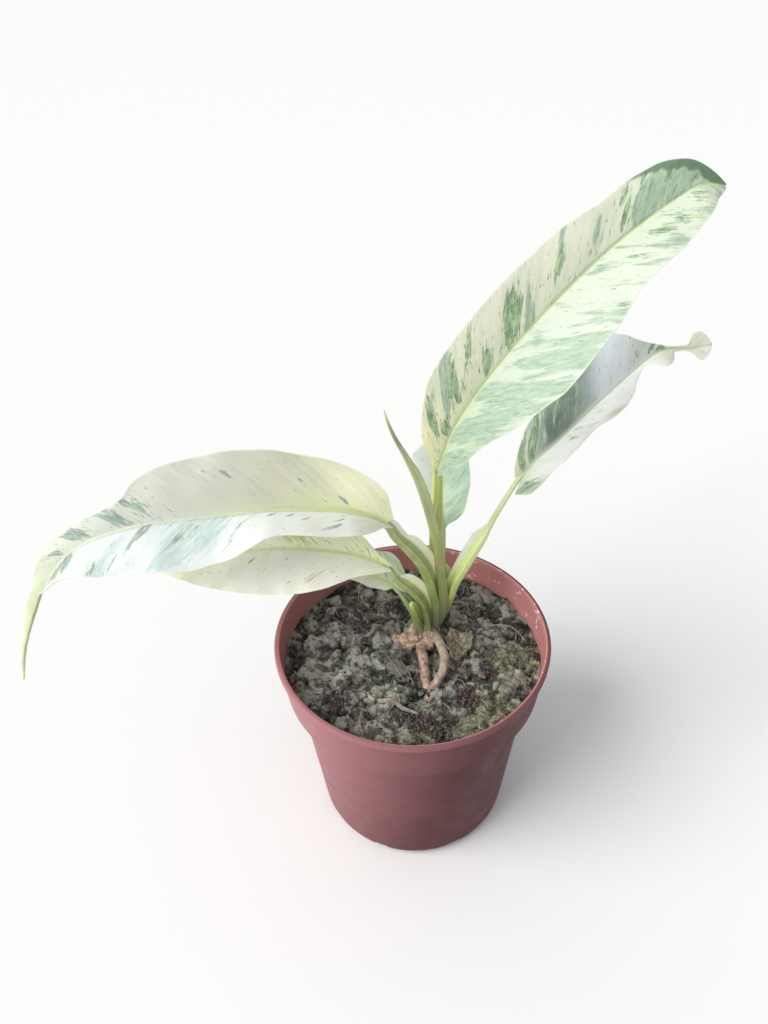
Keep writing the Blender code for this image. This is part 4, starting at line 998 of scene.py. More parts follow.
STALKS = (
    Stalk(
        "petiole_tall", "stalk_tall", facing=(-0.92, -0.38, 0.1), rings=48,
        route=(
            (9.8, 13.2, 92.5), (11.2, 13.8, 98), (12.5, 14, 104), (13.0, 14, 110), (12.3, 14, 120),
            (11.2, 14, 134), (11, 14, 144), (11, 13.6, 156), (11.3, 13.1, 166), (11.4, 12.8, 177),
            (11.2, 12.9, 181.5), (12.6, 14.0, 187)),
        radius=(
            (0, 2.8), (0.07, 3.6), (0.13, 4.0), (0.22, 3.9), (0.35, 3.3), (0.5, 2.95), (0.62, 2.75),
            (0.7, 2.3), (0.78, 1.7), (0.88, 1.5), (1, 1.1)),
        left_wing=((0, 0.1), (0.3, 0.5), (0.5, 1.0), (0.75, 1.5), (0.88, 1.6), (0.93, 0.6), (1, 0.0)),
        skin=StalkSkin(
            "petiole skin, olive",
            face=(
                (0, "#96A188"), (0.12, "#A0AD88"), (0.2, "#A4B17C"), (0.3, "#A8B470"), (0.5, "#AAB474"),
                (0.68, "#ABB777"), (0.8, "#B9C777"), (0.93, "#B0C074")),
            wing=(
                (0, "#8B9868"), (0.25, "#C3C87E"), (0.4, "#F6F1A4"), (0.6, "#EDF0A8"), (0.8, "#F3F3A4"),
                (0.93, "#F4E688")))),
    Stalk(
        "petiole_right", "stalk_right", facing=(-0.7, -0.3, 0.6), rings=44,
        route=(
            (11.5, 15, 93), (14.0, 16.3, 98.5), (16.6, 16.3, 108), (19, 16.5, 118), (22.3, 18, 124.3),
            (25.8, 20, 130), (30, 22.2, 137.3), (34, 24.5, 144), (38, 27, 151.2), (45.9, 31.8, 163.4),
            (50.2, 34.2, 166.4)),
        radius=(
            (0, 2.0), (0.1, 2.2), (0.25, 2.6), (0.4, 2.75), (0.52, 2.5), (0.61, 2.15), (0.645, 1.4),
            (0.92, 1.1), (1, 0.8)),
        left_wing=(
            (0, 0.5), (0.2, 0.9), (0.33, 1.6), (0.5, 2.6), (0.58, 2.7), (0.63, 1.2), (0.655, 0.0),
            (1, 0.0)),
        right_wing=((0, 0.1), (0.3, 0.5), (0.5, 0.4), (0.62, 0.1), (1, 0.0)),
        skin=StalkSkin(
            "petiole skin, pale yellow-green",
            face=(
                (0, "#7C8C4C"), (0.14, "#ADC160"), (0.24, "#DCEB8A"), (0.4, "#E8F5A4"), (0.6, "#E2F0AC"),
                (0.68, "#D6E4A4"), (0.85, "#DCE8B2"), (0.95, "#D3E3A6")),
            wing=(
                (0, "#9DAF5E"), (0.18, "#E8F2AA"), (0.36, "#F8F9E0"), (0.55, "#FAFAF2"), (0.7, "#F6F8E6"),
                (1, "#DDE8B8")),
            rib="#9FB060")),
    Stalk(
        "petiole_upper_left", "stalk_upper_left", facing=(0.8, 0.0, 0.5), rings=48,
        route=(
            (9.3, 11.6, 93), (10.3, 11.3, 100), (10.5, 11, 111.6), (9.1, 10.4, 119.5), (7.7, 9.8, 125.9),
            (5.8, 9, 132.4), (3.0, 7.6, 139.3), (-0.7, 6, 146.2), (-3.9, 5, 151.3), (-6.6, 4.4, 155.3),
            (-9.1, 4, 160.6), (-14.5, 3.6, 163.9)),
        radius=((0, 2.9), (0.08, 3.1), (0.2, 2.9), (0.5, 2.6), (0.75, 2.3), (0.92, 1.8), (1, 1.2)),
        left_wing=((0, 0.1), (0.4, 0.3), (0.8, 0.2), (1, 0.0)),
        right_wing=(
            (0, 0.4), (0.15, 1.0), (0.28, 2.6), (0.42, 4.0), (0.56, 4.8), (0.68, 4.6), (0.75, 4.0),
            (0.78, 2.0), (0.8, 2.6), (0.87, 2.8), (0.92, 2.0), (0.96, 0.2), (1, 0.0)),
        skin=StalkSkin(
            "petiole skin, yellow-green",
            face=(
                (0, "#7A8568"), (0.14, "#82916A"), (0.28, "#8A9C62"), (0.4, "#98AE64"), (0.55, "#A6BA6C"),
                (0.75, "#AEBD7A"), (0.92, "#B4C284")),
            wing=(
                (0, "#87966A"), (0.22, "#C2D484"), (0.32, "#E8F49A"), (0.46, "#F8FBC4"), (0.74, "#FBFCE2"),
                (0.8, "#EEF1E2"), (1, "#F1F4E6")))),
    Stalk(
        "petiole_lower_left", "stalk_lower_left", facing=(0.7, -0.1, 0.7), rings=44,
        route=(
            (7.6, 8.8, 93), (7.2, 8.4, 98), (6.9, 8.2, 103.2), (5.9, 7.9, 109.2), (4.4, 7.4, 114.6),
            (2.4, 6.9, 119), (-0.1, 6.4, 122.7), (-3.3, 5.9, 126.8), (-6.6, 5.5, 131), (-9.2, 5.2, 136.6),
            (-14, 6.3, 139)),
        radius=((0, 2.5), (0.1, 2.7), (0.25, 2.3), (0.5, 1.9), (0.8, 1.6), (1, 1.0)),
        left_wing=((0, 0.1), (0.5, 0.3), (1, 0.0)),
        right_wing=(
            (0, 0.4), (0.15, 1.2), (0.28, 3.2), (0.42, 4.8), (0.56, 5.4), (0.66, 5.0), (0.71, 4.2),
            (0.75, 2.2), (0.775, 0.2), (1, 0.0)),
        skin=StalkSkin(
            "petiole skin, pale green",
            face=(
                (0, "#7A8568"), (0.2, "#84945F"), (0.35, "#90A25E"), (0.5, "#9CB068"), (0.65, "#B0C07C"),
                (0.85, "#BCCA8C")),
            wing=(
                (0, "#87966A"), (0.16, "#C2D484"), (0.3, "#E8F4A6"), (0.45, "#F8FCC6"), (0.65, "#FBFDDE"),
                (0.8, "#F8FAEA")))),
    Stalk(
        "petiole_small_left", "stalk_small_left", facing=(0.7, 0.0, 0.7), rings=24,
        route=(
            (5.2, 8.6, 93), (4.2, 8.3, 97.0), (3.0, 8.2, 100.7), (1.5, 8.4, 106.2), (-0.2, 8.7, 110.3),
            (-2.8, 9.2, 114.8), (-4.9, 9.9, 118.4), (-8, 11.2, 120.6)),
        radius=((0, 2.4), (0.2, 2.5), (0.5, 2.0), (0.85, 1.3), (1, 0.8)),
        left_wing=((0, 0.1), (1, 0.0)),
        right_wing=((0, 0.4), (0.4, 1.0), (0.7, 1.0), (0.85, 0.2), (1, 0.0)),
        skin=StalkSkin(
            "petiole skin, green",
            face=((0, "#6E7960"), (0.25, "#7F8D60"), (0.5, "#93A56A"), (0.75, "#A9BA83"), (1, "#B5C58F")),
            wing=((0, "#7A8A56"), (0.4, "#A9BC72"), (1, "#D8E3B0")))),
    Stalk(
        "petiole_small_back", "stalk_small_back", facing=(0.9, -0.5, 0.2), rings=30,
        route=(
            (10, 16.5, 93), (12.4, 19.6, 106), (13.4, 20.3, 125), (13.9, 21, 136), (13.9, 22, 146.4),
            (13.6, 23.8, 152)),
        radius=((0, 1.9), (0.4, 1.8), (0.6, 1.3), (0.9, 1.0), (1, 0.8)),
        left_wing=((0, 0.2), (0.5, 0.6), (0.6, 0.0), (1, 0.0)),
        right_wing=((0, 1.0), (0.3, 1.6), (0.46, 3.4), (0.52, 3.0), (0.56, 0.3), (1, 0.0)),
        skin=StalkSkin(
            "petiole skin, green",
            face=((0, "#6F7F50"), (0.4, "#A5B772"), (1, "#C6D59A")),
            wing=((0, "#9BAE68"), (0.4, "#D8E6A8"), (1, "#E4ECC2")))),
    Stalk(
        "torn_sheath", "sheath_torn", facing=(0.6, -0.3, 0.7), rings=22,
        route=(
            (6.8, 9.4, 97.5), (5.2, 7.4, 101.0), (3.2, 5.7, 106.0), (1.6, 4.7, 112.4), (-0.1, 4.2, 118.0)),
        radius=((0, 0.8), (0.3, 1.2), (0.6, 1.7), (0.82, 1.9), (0.95, 1.5), (1, 0.9)),
        left_wing=((0, 0.1), (1, 0.1)),
        right_wing=((0, 0.3), (0.6, 0.7), (0.9, 0.5), (1, 0.1)),
        skin=StalkSkin(
            "torn sheath skin",
            face=((0, "#6B765C"), (0.3, "#74825A"), (0.55, "#8A9A5E"), (0.85, "#A9BB6A"), (1, "#C4D07E")),
            wing=((0, "#869A58"), (0.5, "#C9DA90"), (1, "#DCE8A6")))),
    Stalk(
        "new_leaf", "leaf_rolled", facing=(0.2, -0.9, 0.3), rings=44,
        route=(
            (11.4, 15.6, 128), (11.2, 15.2, 136), (10.6, 13.9, 144.5), (9.5, 11.4, 152.1),
            (8.4, 9.5, 159.1), (7.3, 8.7, 164.7), (6.1, 8.1, 170.1), (4.7, 7.5, 175.4), (3.2, 6.8, 180.7),
            (1.3, 6, 186), (-0.8, 5.3, 191), (-2.9, 4.5, 196), (-5.1, 3.8, 200.9), (-6.8, 3.3, 205.5),
            (-8.2, 3, 210), (-9.2, 2.8, 214.4)),
        radius=(
            (0, 0.8), (0.15, 1.5), (0.26, 2.05), (0.36, 2.25), (0.48, 2.25), (0.58, 2.1), (0.66, 1.8),
            (0.72, 1.4), (0.78, 1.1), (0.84, 0.9), (0.94, 0.6), (1, 0.3)),
        skin=StalkSkin(
            "rolled leaf skin, olive",
            face=(
                (0, "#CFDA8C"), (0.22, "#D0DB92"), (0.32, "#BECA8C"), (0.42, "#AAB684"), (0.58, "#BAC692"),
                (0.74, "#AEB98A"), (0.86, "#9AA67C"), (0.93, "#B4BA7E"), (0.98, "#F6EFBA")),
            wing=((0, "#D8DF9C"), (0.5, "#C3CC9A"), (0.85, "#DDE2A6"), (1, "#F3EEC2")),
            rib="#6C7552")),
)


@dataclass
class NurseryPot:
    """The injection-moulded pot: rolled lip, deep collar, tapered body, rounded heel, drainage slots."""

    rim_radius: float = 60.0
    height: float = 104.0
    lip_height: float = 2.8
    lip_overhang: float = 1.2
    lip_width: float = 2.4
    collar_height: float = 22.5
    collar_foot_radius: float = 57.0
    ledge_width: float = 4.5
    heel_radius: float = 44.5
    heel_round: float = 6.0
    wall: float = 1.2
    foot_disc_radius: float = 15.0
    foot_ring_radius: float = 31.0
    foot_recess: float = 0.5
    drain_count: int = 8
    drain_width: float = 7.0
    drain_height: float = 5.2
    drain_inner_radius: float = 38.5
    drain_first_angle: float = -65.0
    segments: int = 192

    def body_radius(self, height: float) -> float:
        """Return the outside radius of the tapered body at a height."""
        top = self.height - self.collar_height
        widening = self.collar_foot_radius - self.ledge_width - self.heel_radius
        return self.heel_radius + widening * height / top

    def profile(self) -> list[tuple[float, float]]:
        """Work out the wall's line from the foot disc, over the lip, to the floor inside.

        Returns:
            (radius, height) pairs in millimetres.
        """
        ledge = self.height - self.collar_height
        lip_foot = self.height - self.lip_height
        collar_top = self.rim_radius - self.lip_overhang
        flare = collar_top - self.collar_foot_radius
        heel_centre = self.body_radius(self.heel_round) - self.heel_round

        def heel(radius: float, steps: int) -> list[tuple[float, float]]:
            """Return a quarter circle about the heel's centre, from the foot outwards and up."""
            angles = [math.radians(90 * step / steps) for step in range(steps + 1)]
            return [(heel_centre + radius * math.sin(angle), self.heel_round - radius * math.cos(angle))
                    for angle in angles]

        line = [(self.foot_disc_radius, 0.0), (self.foot_disc_radius + 1, self.foot_recess),
                (self.foot_ring_radius - 1, self.foot_recess), (self.foot_ring_radius, 0.0)]
        line += heel(self.heel_round, 8)
        for step in range(1, 7):
            height = self.heel_round + (ledge - self.heel_round) * step / 6
            line.append((self.body_radius(height), height))
        line += [(self.collar_foot_radius - 0.6, ledge + 0.15), (self.collar_foot_radius - 0.1, ledge + 0.7)]
        for share in (0.25, 0.5, 0.75, 1.0):
            height = ledge + 0.9 + (lip_foot - ledge - 0.9) * share
            line.append((self.collar_foot_radius + flare * share, height))
        roll = ((0.35, 0.12), (0, 0.6), (0, 1.9), (0.35, 2.55), (0.9, 2.8), (1.6, 2.76), (2.15, 2.4),
                (self.lip_width, 1.7))
        line += [(self.rim_radius - inwards, lip_foot + rise) for inwards, rise in roll]
        for share in (0.02, 0.35, 0.7, 1.0):
            height = lip_foot - (lip_foot - ledge - 1.9) * share
            line.append((collar_top - self.wall - flare * share, height))
        line.append((self.body_radius(ledge) - self.wall, ledge + 1.0))
        return line + heel(self.heel_round - self.wall, 6)[::-1]

    def turn_wall(self) -> Object:
        """Extrude a circle from ring to ring along the profile, and close its two ends.

        Returns:
            The pot, still without its drainage slots.
        """
        line = self.profile()
        pot = primitive("circle", vertices=self.segments, radius=line[0][0] * MM, fill_type="NGON",
                        location=(0, 0, line[0][1] * MM))
        pot.name = "moulded_pot"
        bpy.ops.object.mode_set(mode="EDIT")
        bpy.ops.mesh.select_all(action="SELECT")
        for (radius, height), (next_radius, next_height) in zip(line, line[1:]):
            rise = (0, 0, (next_height - height) * MM)
            bpy.ops.mesh.extrude_edges_move(TRANSFORM_OT_translate={"value": rise})
            ratio = next_radius / radius
            bpy.ops.transform.resize(value=(ratio, ratio, 1), center_override=(0, 0, 0))
        bpy.ops.mesh.edge_face_add()
        turn_faces_out()
        bpy.ops.object.transform_apply(location=True, rotation=True, scale=True)
        return pot

    def cut_drains(self, pot: Object) -> None:
        """Cut the drainage slots through the heel.

        Args:
            pot: The turned pot.
        """
        reach = self.rim_radius - self.drain_inner_radius
        middle = (self.drain_inner_radius + reach / 2) * MM
        for number in range(self.drain_count):
            angle = math.radians(self.drain_first_angle + number * 360 / self.drain_count)
            cutter = primitive("cube", size=1.0, rotation=(0, 0, angle),
                               location=(middle * math.cos(angle), middle * math.sin(angle), 0),
                               scale=(reach * MM, self.drain_width * MM, 2 * self.drain_height * MM))
            bpy.ops.object.transform_apply(location=False, rotation=False, scale=True)
            keep_modifier(cutter, "BEVEL", width=0.8 * MM, segments=2)
            keep_modifier(pot, "BOOLEAN", operation="DIFFERENCE", solver="EXACT", object=cutter)
            bpy.data.objects.remove(cutter, do_unlink=True)

    def plastic(self) -> Material:
        """Moulded polypropylene, rose brown: satin, with faint flow clouds, soil dust and lime specks.

        The flow clouds keep the wall from reading as one flat colour. Dust dulls the foot and the body.
        Dried drops of hard water have left lime specks on the wall inside, above the soil.
        Painted light lays a paler tone on the left side and over the wall inside, and a painted highlight on
        the rolled lip.

        Returns:
            The material.
        """
        look = Shader("injection-moulded polypropylene, rose brown")
        place = look.add("TexCoord", out="Object")
        height = look.add("SeparateXYZ", place, out="Z")
        tone = look.add("ValToRGB", look.add("TexNoise", place, 1000 / 28, 4.0, 0.55),
                        stops=((0.3, "#4E2224"), (0.55, "#59292C"), (0.75, "#653134")))
        dust = look.add("TexNoise", place, 1000 / 9, 8.0, 0.7)
        dust_sum = look.add("Math", dust, look.add("MapRange", height, 0.0, 30 * MM, 0.16, 0.0))
        tone = look.lay(tone, "#634042", dust_sum, 0.56, 0.8, 0.3)
        # painted light: the side towards the key lamp, at the left, is laid paler
        lit_side_mask = look.add("VectorMath", place, (-1.0, -0.12, 0.25), operation="DOT_PRODUCT")
        tone = look.lay(tone, "#B37A80", lit_side_mask, 5 * MM, 78 * MM, 0.9)
        # painted highlight: the rolled lip is laid pale
        tone = look.lay(tone, "#A87A7E", height, 101.2 * MM, 102.6 * MM, 0.35)
        # the wall inside: nearer to the axis than a line 0.6 mm inside the collar's outer face
        flat = look.add("VectorMath", place, (1, 1, 0), operation="MULTIPLY")
        radius = look.add("VectorMath", flat, operation="LENGTH")
        flare = self.rim_radius - self.lip_overhang - self.collar_foot_radius
        taper = flare / (self.collar_height - self.lip_height)
        reach = look.add("Math", height, -taper, radius, operation="MULTIPLY_ADD")
        line = (self.collar_foot_radius - 0.6 - taper * (self.height - self.collar_height)) * MM
        within = look.add("MapRange", reach, line + 0.2 * MM, line - 0.2 * MM)
        collar = look.add("MapRange", height, 82.8 * MM, 83.6 * MM)
        inside = look.add("Math", within, collar, operation="MULTIPLY")
        # painted light: the wall inside is laid far paler than the plastic outside, as if lit
        tone = look.lay(tone, "#C48684", inside)
        # lime specks gather in clusters, and there are more of them at the right
        side = look.add("SeparateXYZ", place, out="X")
        wet = look.add("MapRange", side, -20 * MM, 30 * MM, -0.12, 0.05)
        cluster = look.add("TexNoise", place, 1000 / 12, 1.0)
        gather = look.add("Math", cluster, 0.6, wet, operation="MULTIPLY_ADD")
        speck = look.add("Math", gather, look.add("TexNoise", place, 1000 / 2.6, 2.0, 0.5))
        speck = look.add("MapRange", speck, 1.02, 1.05, 0.0, 0.85)
        for mask in (look.add("MapRange", height, 90 * MM, 93 * MM), inside):
            speck = look.add("Math", speck, mask, operation="MULTIPLY")
        fine = look.add("TexNoise", place, 1000 / 0.8, 2.0)
        return look.finish(
            Base_Color=look.lay(tone, "#F1DDD8", speck),
            Normal=look.add("Bump", 0.25, 0.05 * MM, Height=fine),
            Roughness=look.add("MapRange", dust, 0.35, 0.7, 0.38, 0.56), IOR=1.49, Specular_IOR_Level=0.16,
            Subsurface_Weight=0.06, Subsurface_Radius=(1.0, 0.5, 0.4), Subsurface_Scale=1.5 * MM)

    def build(self) -> None:
        """Model and dress the pot."""
        pot = self.turn_wall()
        self.cut_drains(pot)
        settle(pot, self.plastic(), "pot_plastic", "pot", sharp=35)


@dataclass(frozen=True)
class Clump:
    """A round place on the bed with a stuff of its own: plan centre, size in millimetres, and strength."""

    x: float
    y: float
    size: float
    strength: float = 1.0


@dataclass
class PeatBed:
    """The moist peat filling with its clods, grains, crumbs, bark flakes, roots, fibres and moss.

    The hollows are rows of plan centre, size and depth. The clods and the rounder hills are rows of
    spacing, height and a shift that tells the layers apart. All are in millimetres.
    """

    edge_height: float = 91.3
    mound: float = 2.2
    front_rise: float = 0.03
    hollows: Rows = ((5.0, -8.0, 20.0, 6.0), (4.5, -27.5, 9.0, 2.9))
    calm_band: float = 4.0
    clods: Rows = ((13.0, 2.2, 3.1), (6.5, 2.0, 8.7), (3.6, 1.1, 17.9))
    hills: Rows = ((7.2, 3.0, 5.3), (3.3, 1.5, 11.1), (1.5, 0.6, 23.7))
    wall_foot_radius: float = 57.0
    wall_top_radius: float = 58.8
    wall_foot: float = 81.5
    wall_top: float = 101.2
    clearance: float = 1.5
    segments: int = 600
    rings: int = 136
    crumb_count: int = 800
    flake_count: int = 46
    tuft_count: int = 3000
    fibre_count: int = 110

    CRUST = (
        Clump(-9, -1, 7), Clump(-17, -9, 7), Clump(-29, -12, 8, 0.8), Clump(-5, -23, 5), Clump(-12, -28, 7),
        Clump(3, -31, 5, 0.8), Clump(24, -2, 6, 0.7), Clump(18, -22, 6, 0.5), Clump(36, 18, 7, 0.6),
        Clump(-38, -22, 7, 0.6), Clump(-20, 22, 8, 0.5), Clump(44, -16, 6, 0.7), Clump(14, 34, 9, 0.6),
        Clump(-40, 8, 7, 0.4), Clump(-22, -40, 6, 0.6))
    MOSS = (
        Clump(38, -6, 10), Clump(32, -31, 11), Clump(25, -42, 9), Clump(50, -1, 7), Clump(43, -35, 8),
        Clump(7, -45, 10), Clump(53, -10, 7, 0.8), Clump(30, 24, 9, 0.6), Clump(-6, -50, 8, 0.7),
        Clump(-28, 30, 9, 0.4), Clump(-12, -16, 6, 0.5))
    GRAINS = (
        Clump(22.7, -28, 5.5), Clump(3, -40.6, 6.0), Clump(-6, -36, 4.5), Clump(11, -46, 4.5),
        Clump(20, 8, 4.0, 0.6), Clump(-23, 14, 4.5, 0.6), Clump(33, -12, 4.5, 0.7),
        Clump(-30, -30, 4.5, 0.6), Clump(-6, 26, 5.0, 0.5))
    # the crown of the plant, where nothing loose lies: plan centre and radius, mm
    CROWN = (10.0, 12.0, 7.0)
    # pale roots on the bed: plan points, radius and rise above the clods, mm
    PALE_ROOTS = (
        (((-18.6, -25.3), (-17.2, -28.6), (-13, -29.6), (-8, -30.4), (-3.5, -33.1), (2.3, -36.1)),
         1.05, 1.0),
        (((-5.3, -4.9), (-1.8, -10.6), (-0.1, -16.2), (1.2, -20)), 0.2, 1.6),
        (((-11.9, -3.1), (-7.4, -10.6), (-3.1, -18.4)), 0.16, 1.6),
        (((-9.5, -12), (-4, -13.5), (0.5, -17.5)), 0.14, 1.8),
        (((-20.7, -35.6), (-21.2, -41.1), (-19.6, -47.8)), 0.28, 2.2),
        (((34, 12.4), (39, 13.4), (44.7, 12.7), (49, 9.2), (50.8, 5.5)), 0.3, 2.0),
        (((22, 4), (24, -3), (22.5, -9), (20, -14)), 0.18, 2.0),
        (((-44, -20), (-40, -24), (-36, -23)), 0.3, 1.6),
        (((28, 24), (24, 29), (17, 31), (12, 30)), 0.25, 1.8))
    HILL_AVERAGE = 0.42
    HILL_RANGE = (-1.9, 2.3)
    OPEN_RADIUS = 52.0
    # the bed's outside below the clods: radius and height, mm
    FOOT = ((0.0, 2.0), (36.0, 2.0), (42.0, 4.0), (43.4, 8.0), (50.9, 81.5), (55.2, 83.8))

    def wall(self, height: Array | float) -> Array | float:
        """Return the soil's radius against the collar at a height."""
        share = (height - self.wall_foot) / (self.wall_top - self.wall_foot)
        widening = self.wall_top_radius - self.wall_foot_radius
        return self.wall_foot_radius + widening * share - self.clearance

    def scramble(self, column: Array, row: Array, key: float) -> Array:
        """Return a repeatable number from 0 to 1 for each cell of a plan grid."""
        value = np.sin(column * 127.1 + row * 311.7 + key * 74.7) * 43758.5453
        return value - np.floor(value)

    def hill(self, x: Array, y: Array, spacing: float, offset: float) -> Array:
        """Return how high round clods stand at each place, from 0 between them to 1 on the highest.

        Args:
            x: Places to the right, in millimetres.
            y: Places to the back, in millimetres.
            spacing: How far apart the clods lie, in millimetres.
            offset: A shift that tells this layer from the others.

        Returns:
            One share of the layer's height for each place.
        """
        shape = stack(x / (0.8 * spacing), y / (0.8 * spacing), offset)
        u = x / spacing + offset + 0.38 * soft_noise(shape)
        v = y / spacing - offset + 0.38 * soft_noise(shape + 9.3)
        column, row = np.floor(u), np.floor(v)
        nearest, size = np.full_like(u, 9.0), np.zeros_like(u)
        for a, b in ((column + i, row + j) for i in (-1, 0, 1) for j in (-1, 0, 1)):
            away = np.hypot(a + self.scramble(a, b, 1) - u, b + self.scramble(a, b, 2) - v)
            closer = away < nearest
            nearest = np.where(closer, away, nearest)
            size = np.where(closer, self.scramble(a, b, 3), size)
        return (0.3 + 0.7 * size) * np.sqrt(np.clip(1 - (nearest / 0.85) ** 2, 0, 1))

    def hilliness(self, x: Array, y: Array) -> Array:
        """Return the height of all round clods together, in millimetres, about an average of nothing."""
        return sum(height * (self.hill(x, y, spacing, offset) - self.HILL_AVERAGE)
                   for spacing, height, offset in self.hills)

    def heights(self, x: Array, y: Array) -> Array:
        """Return the height of the lumpy surface at each plan place, in millimetres.

        Args:
            x: Places to the right.
            y: Places towards the back.

        Returns:
            One height for each pair.
        """
        radius = np.hypot(x, y)
        wall = self.wall(self.edge_height)
        calm = 0.35 + 0.65 * np.clip((wall - radius) / self.calm_band, 0, 1)
        rise = self.mound * (1 - (radius / wall) ** 2)
        for centre_x, centre_y, size, depth in self.hollows:
            away = np.hypot(x - centre_x, y - centre_y) / size
            rise = rise - depth * np.clip(1 - away * away, 0, 1) ** 2
        for spacing, height, offset in self.clods:
            place = stack(x / spacing + offset, y / spacing - offset, offset)
            rise = rise + height * calm * soft_noise(place)
        stem = np.clip((np.hypot(x - 5, y - 6) - 5) / 9, 0.2, 1)
        return self.edge_height + rise - self.front_rise * y + self.hilliness(x, y) * calm * stem

    def cover(self, clumps: tuple[Clump, ...], x: Array, y: Array) -> Array:
        """Return how strongly a kind of clump covers each plan place."""
        total = np.zeros_like(x)
        for clump in clumps:
            away = ((x - clump.x) ** 2 + (y - clump.y) ** 2) / clump.size ** 2
            total = np.maximum(total, clump.strength * np.exp(-away))
        return total

    def surface(self, turn: Array, share: Array) -> Array:
        """Return the bed's places: the first rings climb the pot's wall, the others cross the top.

        Args:
            turn: Shares of a turn.
            share: Shares of the way from the bed's foot to its middle.

        Returns:
            One place for each pair, in millimetres.
        """
        foot = np.array(self.FOOT)
        ring = np.rint(share * (self.rings + len(foot))).astype(int)
        inward = np.clip((ring - len(foot)) / self.rings, 0, 1)
        angle = turn * 2 * math.pi
        radius = self.wall(self.edge_height) * (1 - inward)
        height = self.heights(radius * np.cos(angle), radius * np.sin(angle))
        radius = np.where(inward == 0, self.wall(height), radius)
        below, step = ring < len(foot), foot[np.clip(ring, 0, len(foot) - 1)]
        radius, height = np.where(below, step[:, 0], radius), np.where(below, step[:, 1], height)
        return stack(radius * np.cos(angle), radius * np.sin(angle), height)

    def peat(self) -> Material:
        """Moist sphagnum peat: matt and fibrous, its tone set by the clods' height: black in the hollows as
        painted shade, and grey-brown on the clod tops as painted highlight.

        Purple-brown bark fines, grey-white lime and algae crusts and olive moss lie over it in patches,
        and noise breaks up their edges.

        Returns:
            The material.
        """
        look = Shader("moist sphagnum peat")
        place = look.add("TexCoord", out="Object")
        mix = look.add("TexNoise", place, 1000 / 3.4, 8.0, 0.72)
        wide = look.add("TexNoise", place, 1000 / 8, 5.0, 0.6, Distortion=0.6)
        # painted shade and highlight: the clods' height turns the tone black in the hollows and grey-brown
        # on the tops
        high = look.add("Math", look.add("Attribute", attribute_name="high", out="Fac"), 0.7, mix,
                        operation="MULTIPLY_ADD")
        tone = look.add("ValToRGB", high, stops=((0.54, "#131314"), (0.74, "#323130"), (0.89, "#615F58"),
                                                 (1.0, "#97958B")))
        for name, edge, stops in (
                ("grains", wide, ((0.4, "#2E2626"), (0.6, "#5A4C4B"), (0.75, "#7C6E6C"))),
                ("crust", wide, ((0.35, "#4A4D44"), (0.5, "#8B8F81"), (0.64, "#D2D7C6"))),
                ("moss", mix, ((0.35, "#4B4C3C"), (0.5, "#868669"), (0.66, "#C2C29E")))):
            amount = look.add("Attribute", attribute_name=name, out="Fac")
            total = look.add("Math", amount, 0.42, edge, operation="MULTIPLY_ADD")
            tone = look.lay(tone, look.add("ValToRGB", mix, stops=stops), total, 0.68, 0.86, 0.85)
        return look.finish(Base_Color=tone, Normal=look.add("Bump", 1.0, 1.2 * MM, Height=mix),
                           Roughness=0.85, IOR=1.4)

    def crumb_stuff(self, name: str, *colours: str) -> Material:
        """Make a loose-piece material whose tone follows each piece's own shade value, dark to light.

        Args:
            name: The real material's name.
            *colours: The dark, the middle and the light colour.

        Returns:
            The material.
        """
        look = Shader(name)
        grain = look.add("TexNoise", look.add("TexCoord", out="Object"), 1000 / 1.1, 4.0, 0.65)
        shade = look.add("Attribute", attribute_name="shade", out="Fac")
        total = look.add("Math", grain, 0.7, shade, operation="MULTIPLY_ADD")
        tone = look.add("ValToRGB", total, stops=tuple(zip((0.35, 0.7, 1.0), colours)))
        bump = look.add("Bump", 0.7, 0.3 * MM, Height=grain)
        return look.finish(Base_Color=tone, Normal=bump, Roughness=0.85)

    def crumb_models(self, flat: float) -> Models:
        """Model five irregular crumbs about one unit in size, and return their vertices and triangles.

        Args:
            flat: Height over width, 1 for a lump and less for a flake.

        Returns:
            (vertices, triangles) pairs.
        """
        models = []
        for number in range(5):
            lump = primitive("ico_sphere", subdivisions=2, radius=0.5)
            places = places_of(lump)
            for row in places:
                row *= 1 + 0.75 * noise.noise(Vector(row) * 2.2 + Vector((number * 5.1, 0, 0)))
            places *= (1.0, 0.62 + 0.08 * number, flat)
            models.append((places, np.array([face.vertices[:] for face in lump.data.polygons])))
            bpy.data.objects.remove(lump, do_unlink=True)
        return models

    def tuft_models(self) -> Models:
        """Model a few moss tufts of seven pointed leaflets each, one unit across.

        Returns:
            (vertices, triangles) pairs.
        """
        models = []
        rng = np.random.default_rng(SEED + 5)
        for _ in range(4):
            places, faces = [], []
            for number in range(7):
                angle = 2 * math.pi * number / 7 + rng.uniform(-0.3, 0.3)
                tilt = rng.uniform(0.5, 1.25)
                c, s = math.cos(angle), math.sin(angle)
                out = np.array([c * math.cos(tilt), s * math.cos(tilt), math.sin(tilt)])
                side = np.array([-s, c, 0.0]) * 0.09
                start = len(places)
                places += [out * 0.02 - side, out * 0.02 + side, out * 0.3 + side * 1.3,
                           out * 0.3 - side * 1.3, out * 0.58]
                faces += [(start, start + 1, start + 2), (start, start + 2, start + 3),
                          (start + 3, start + 2, start + 4)]
            models.append((np.array(places), np.array(faces)))
        return models

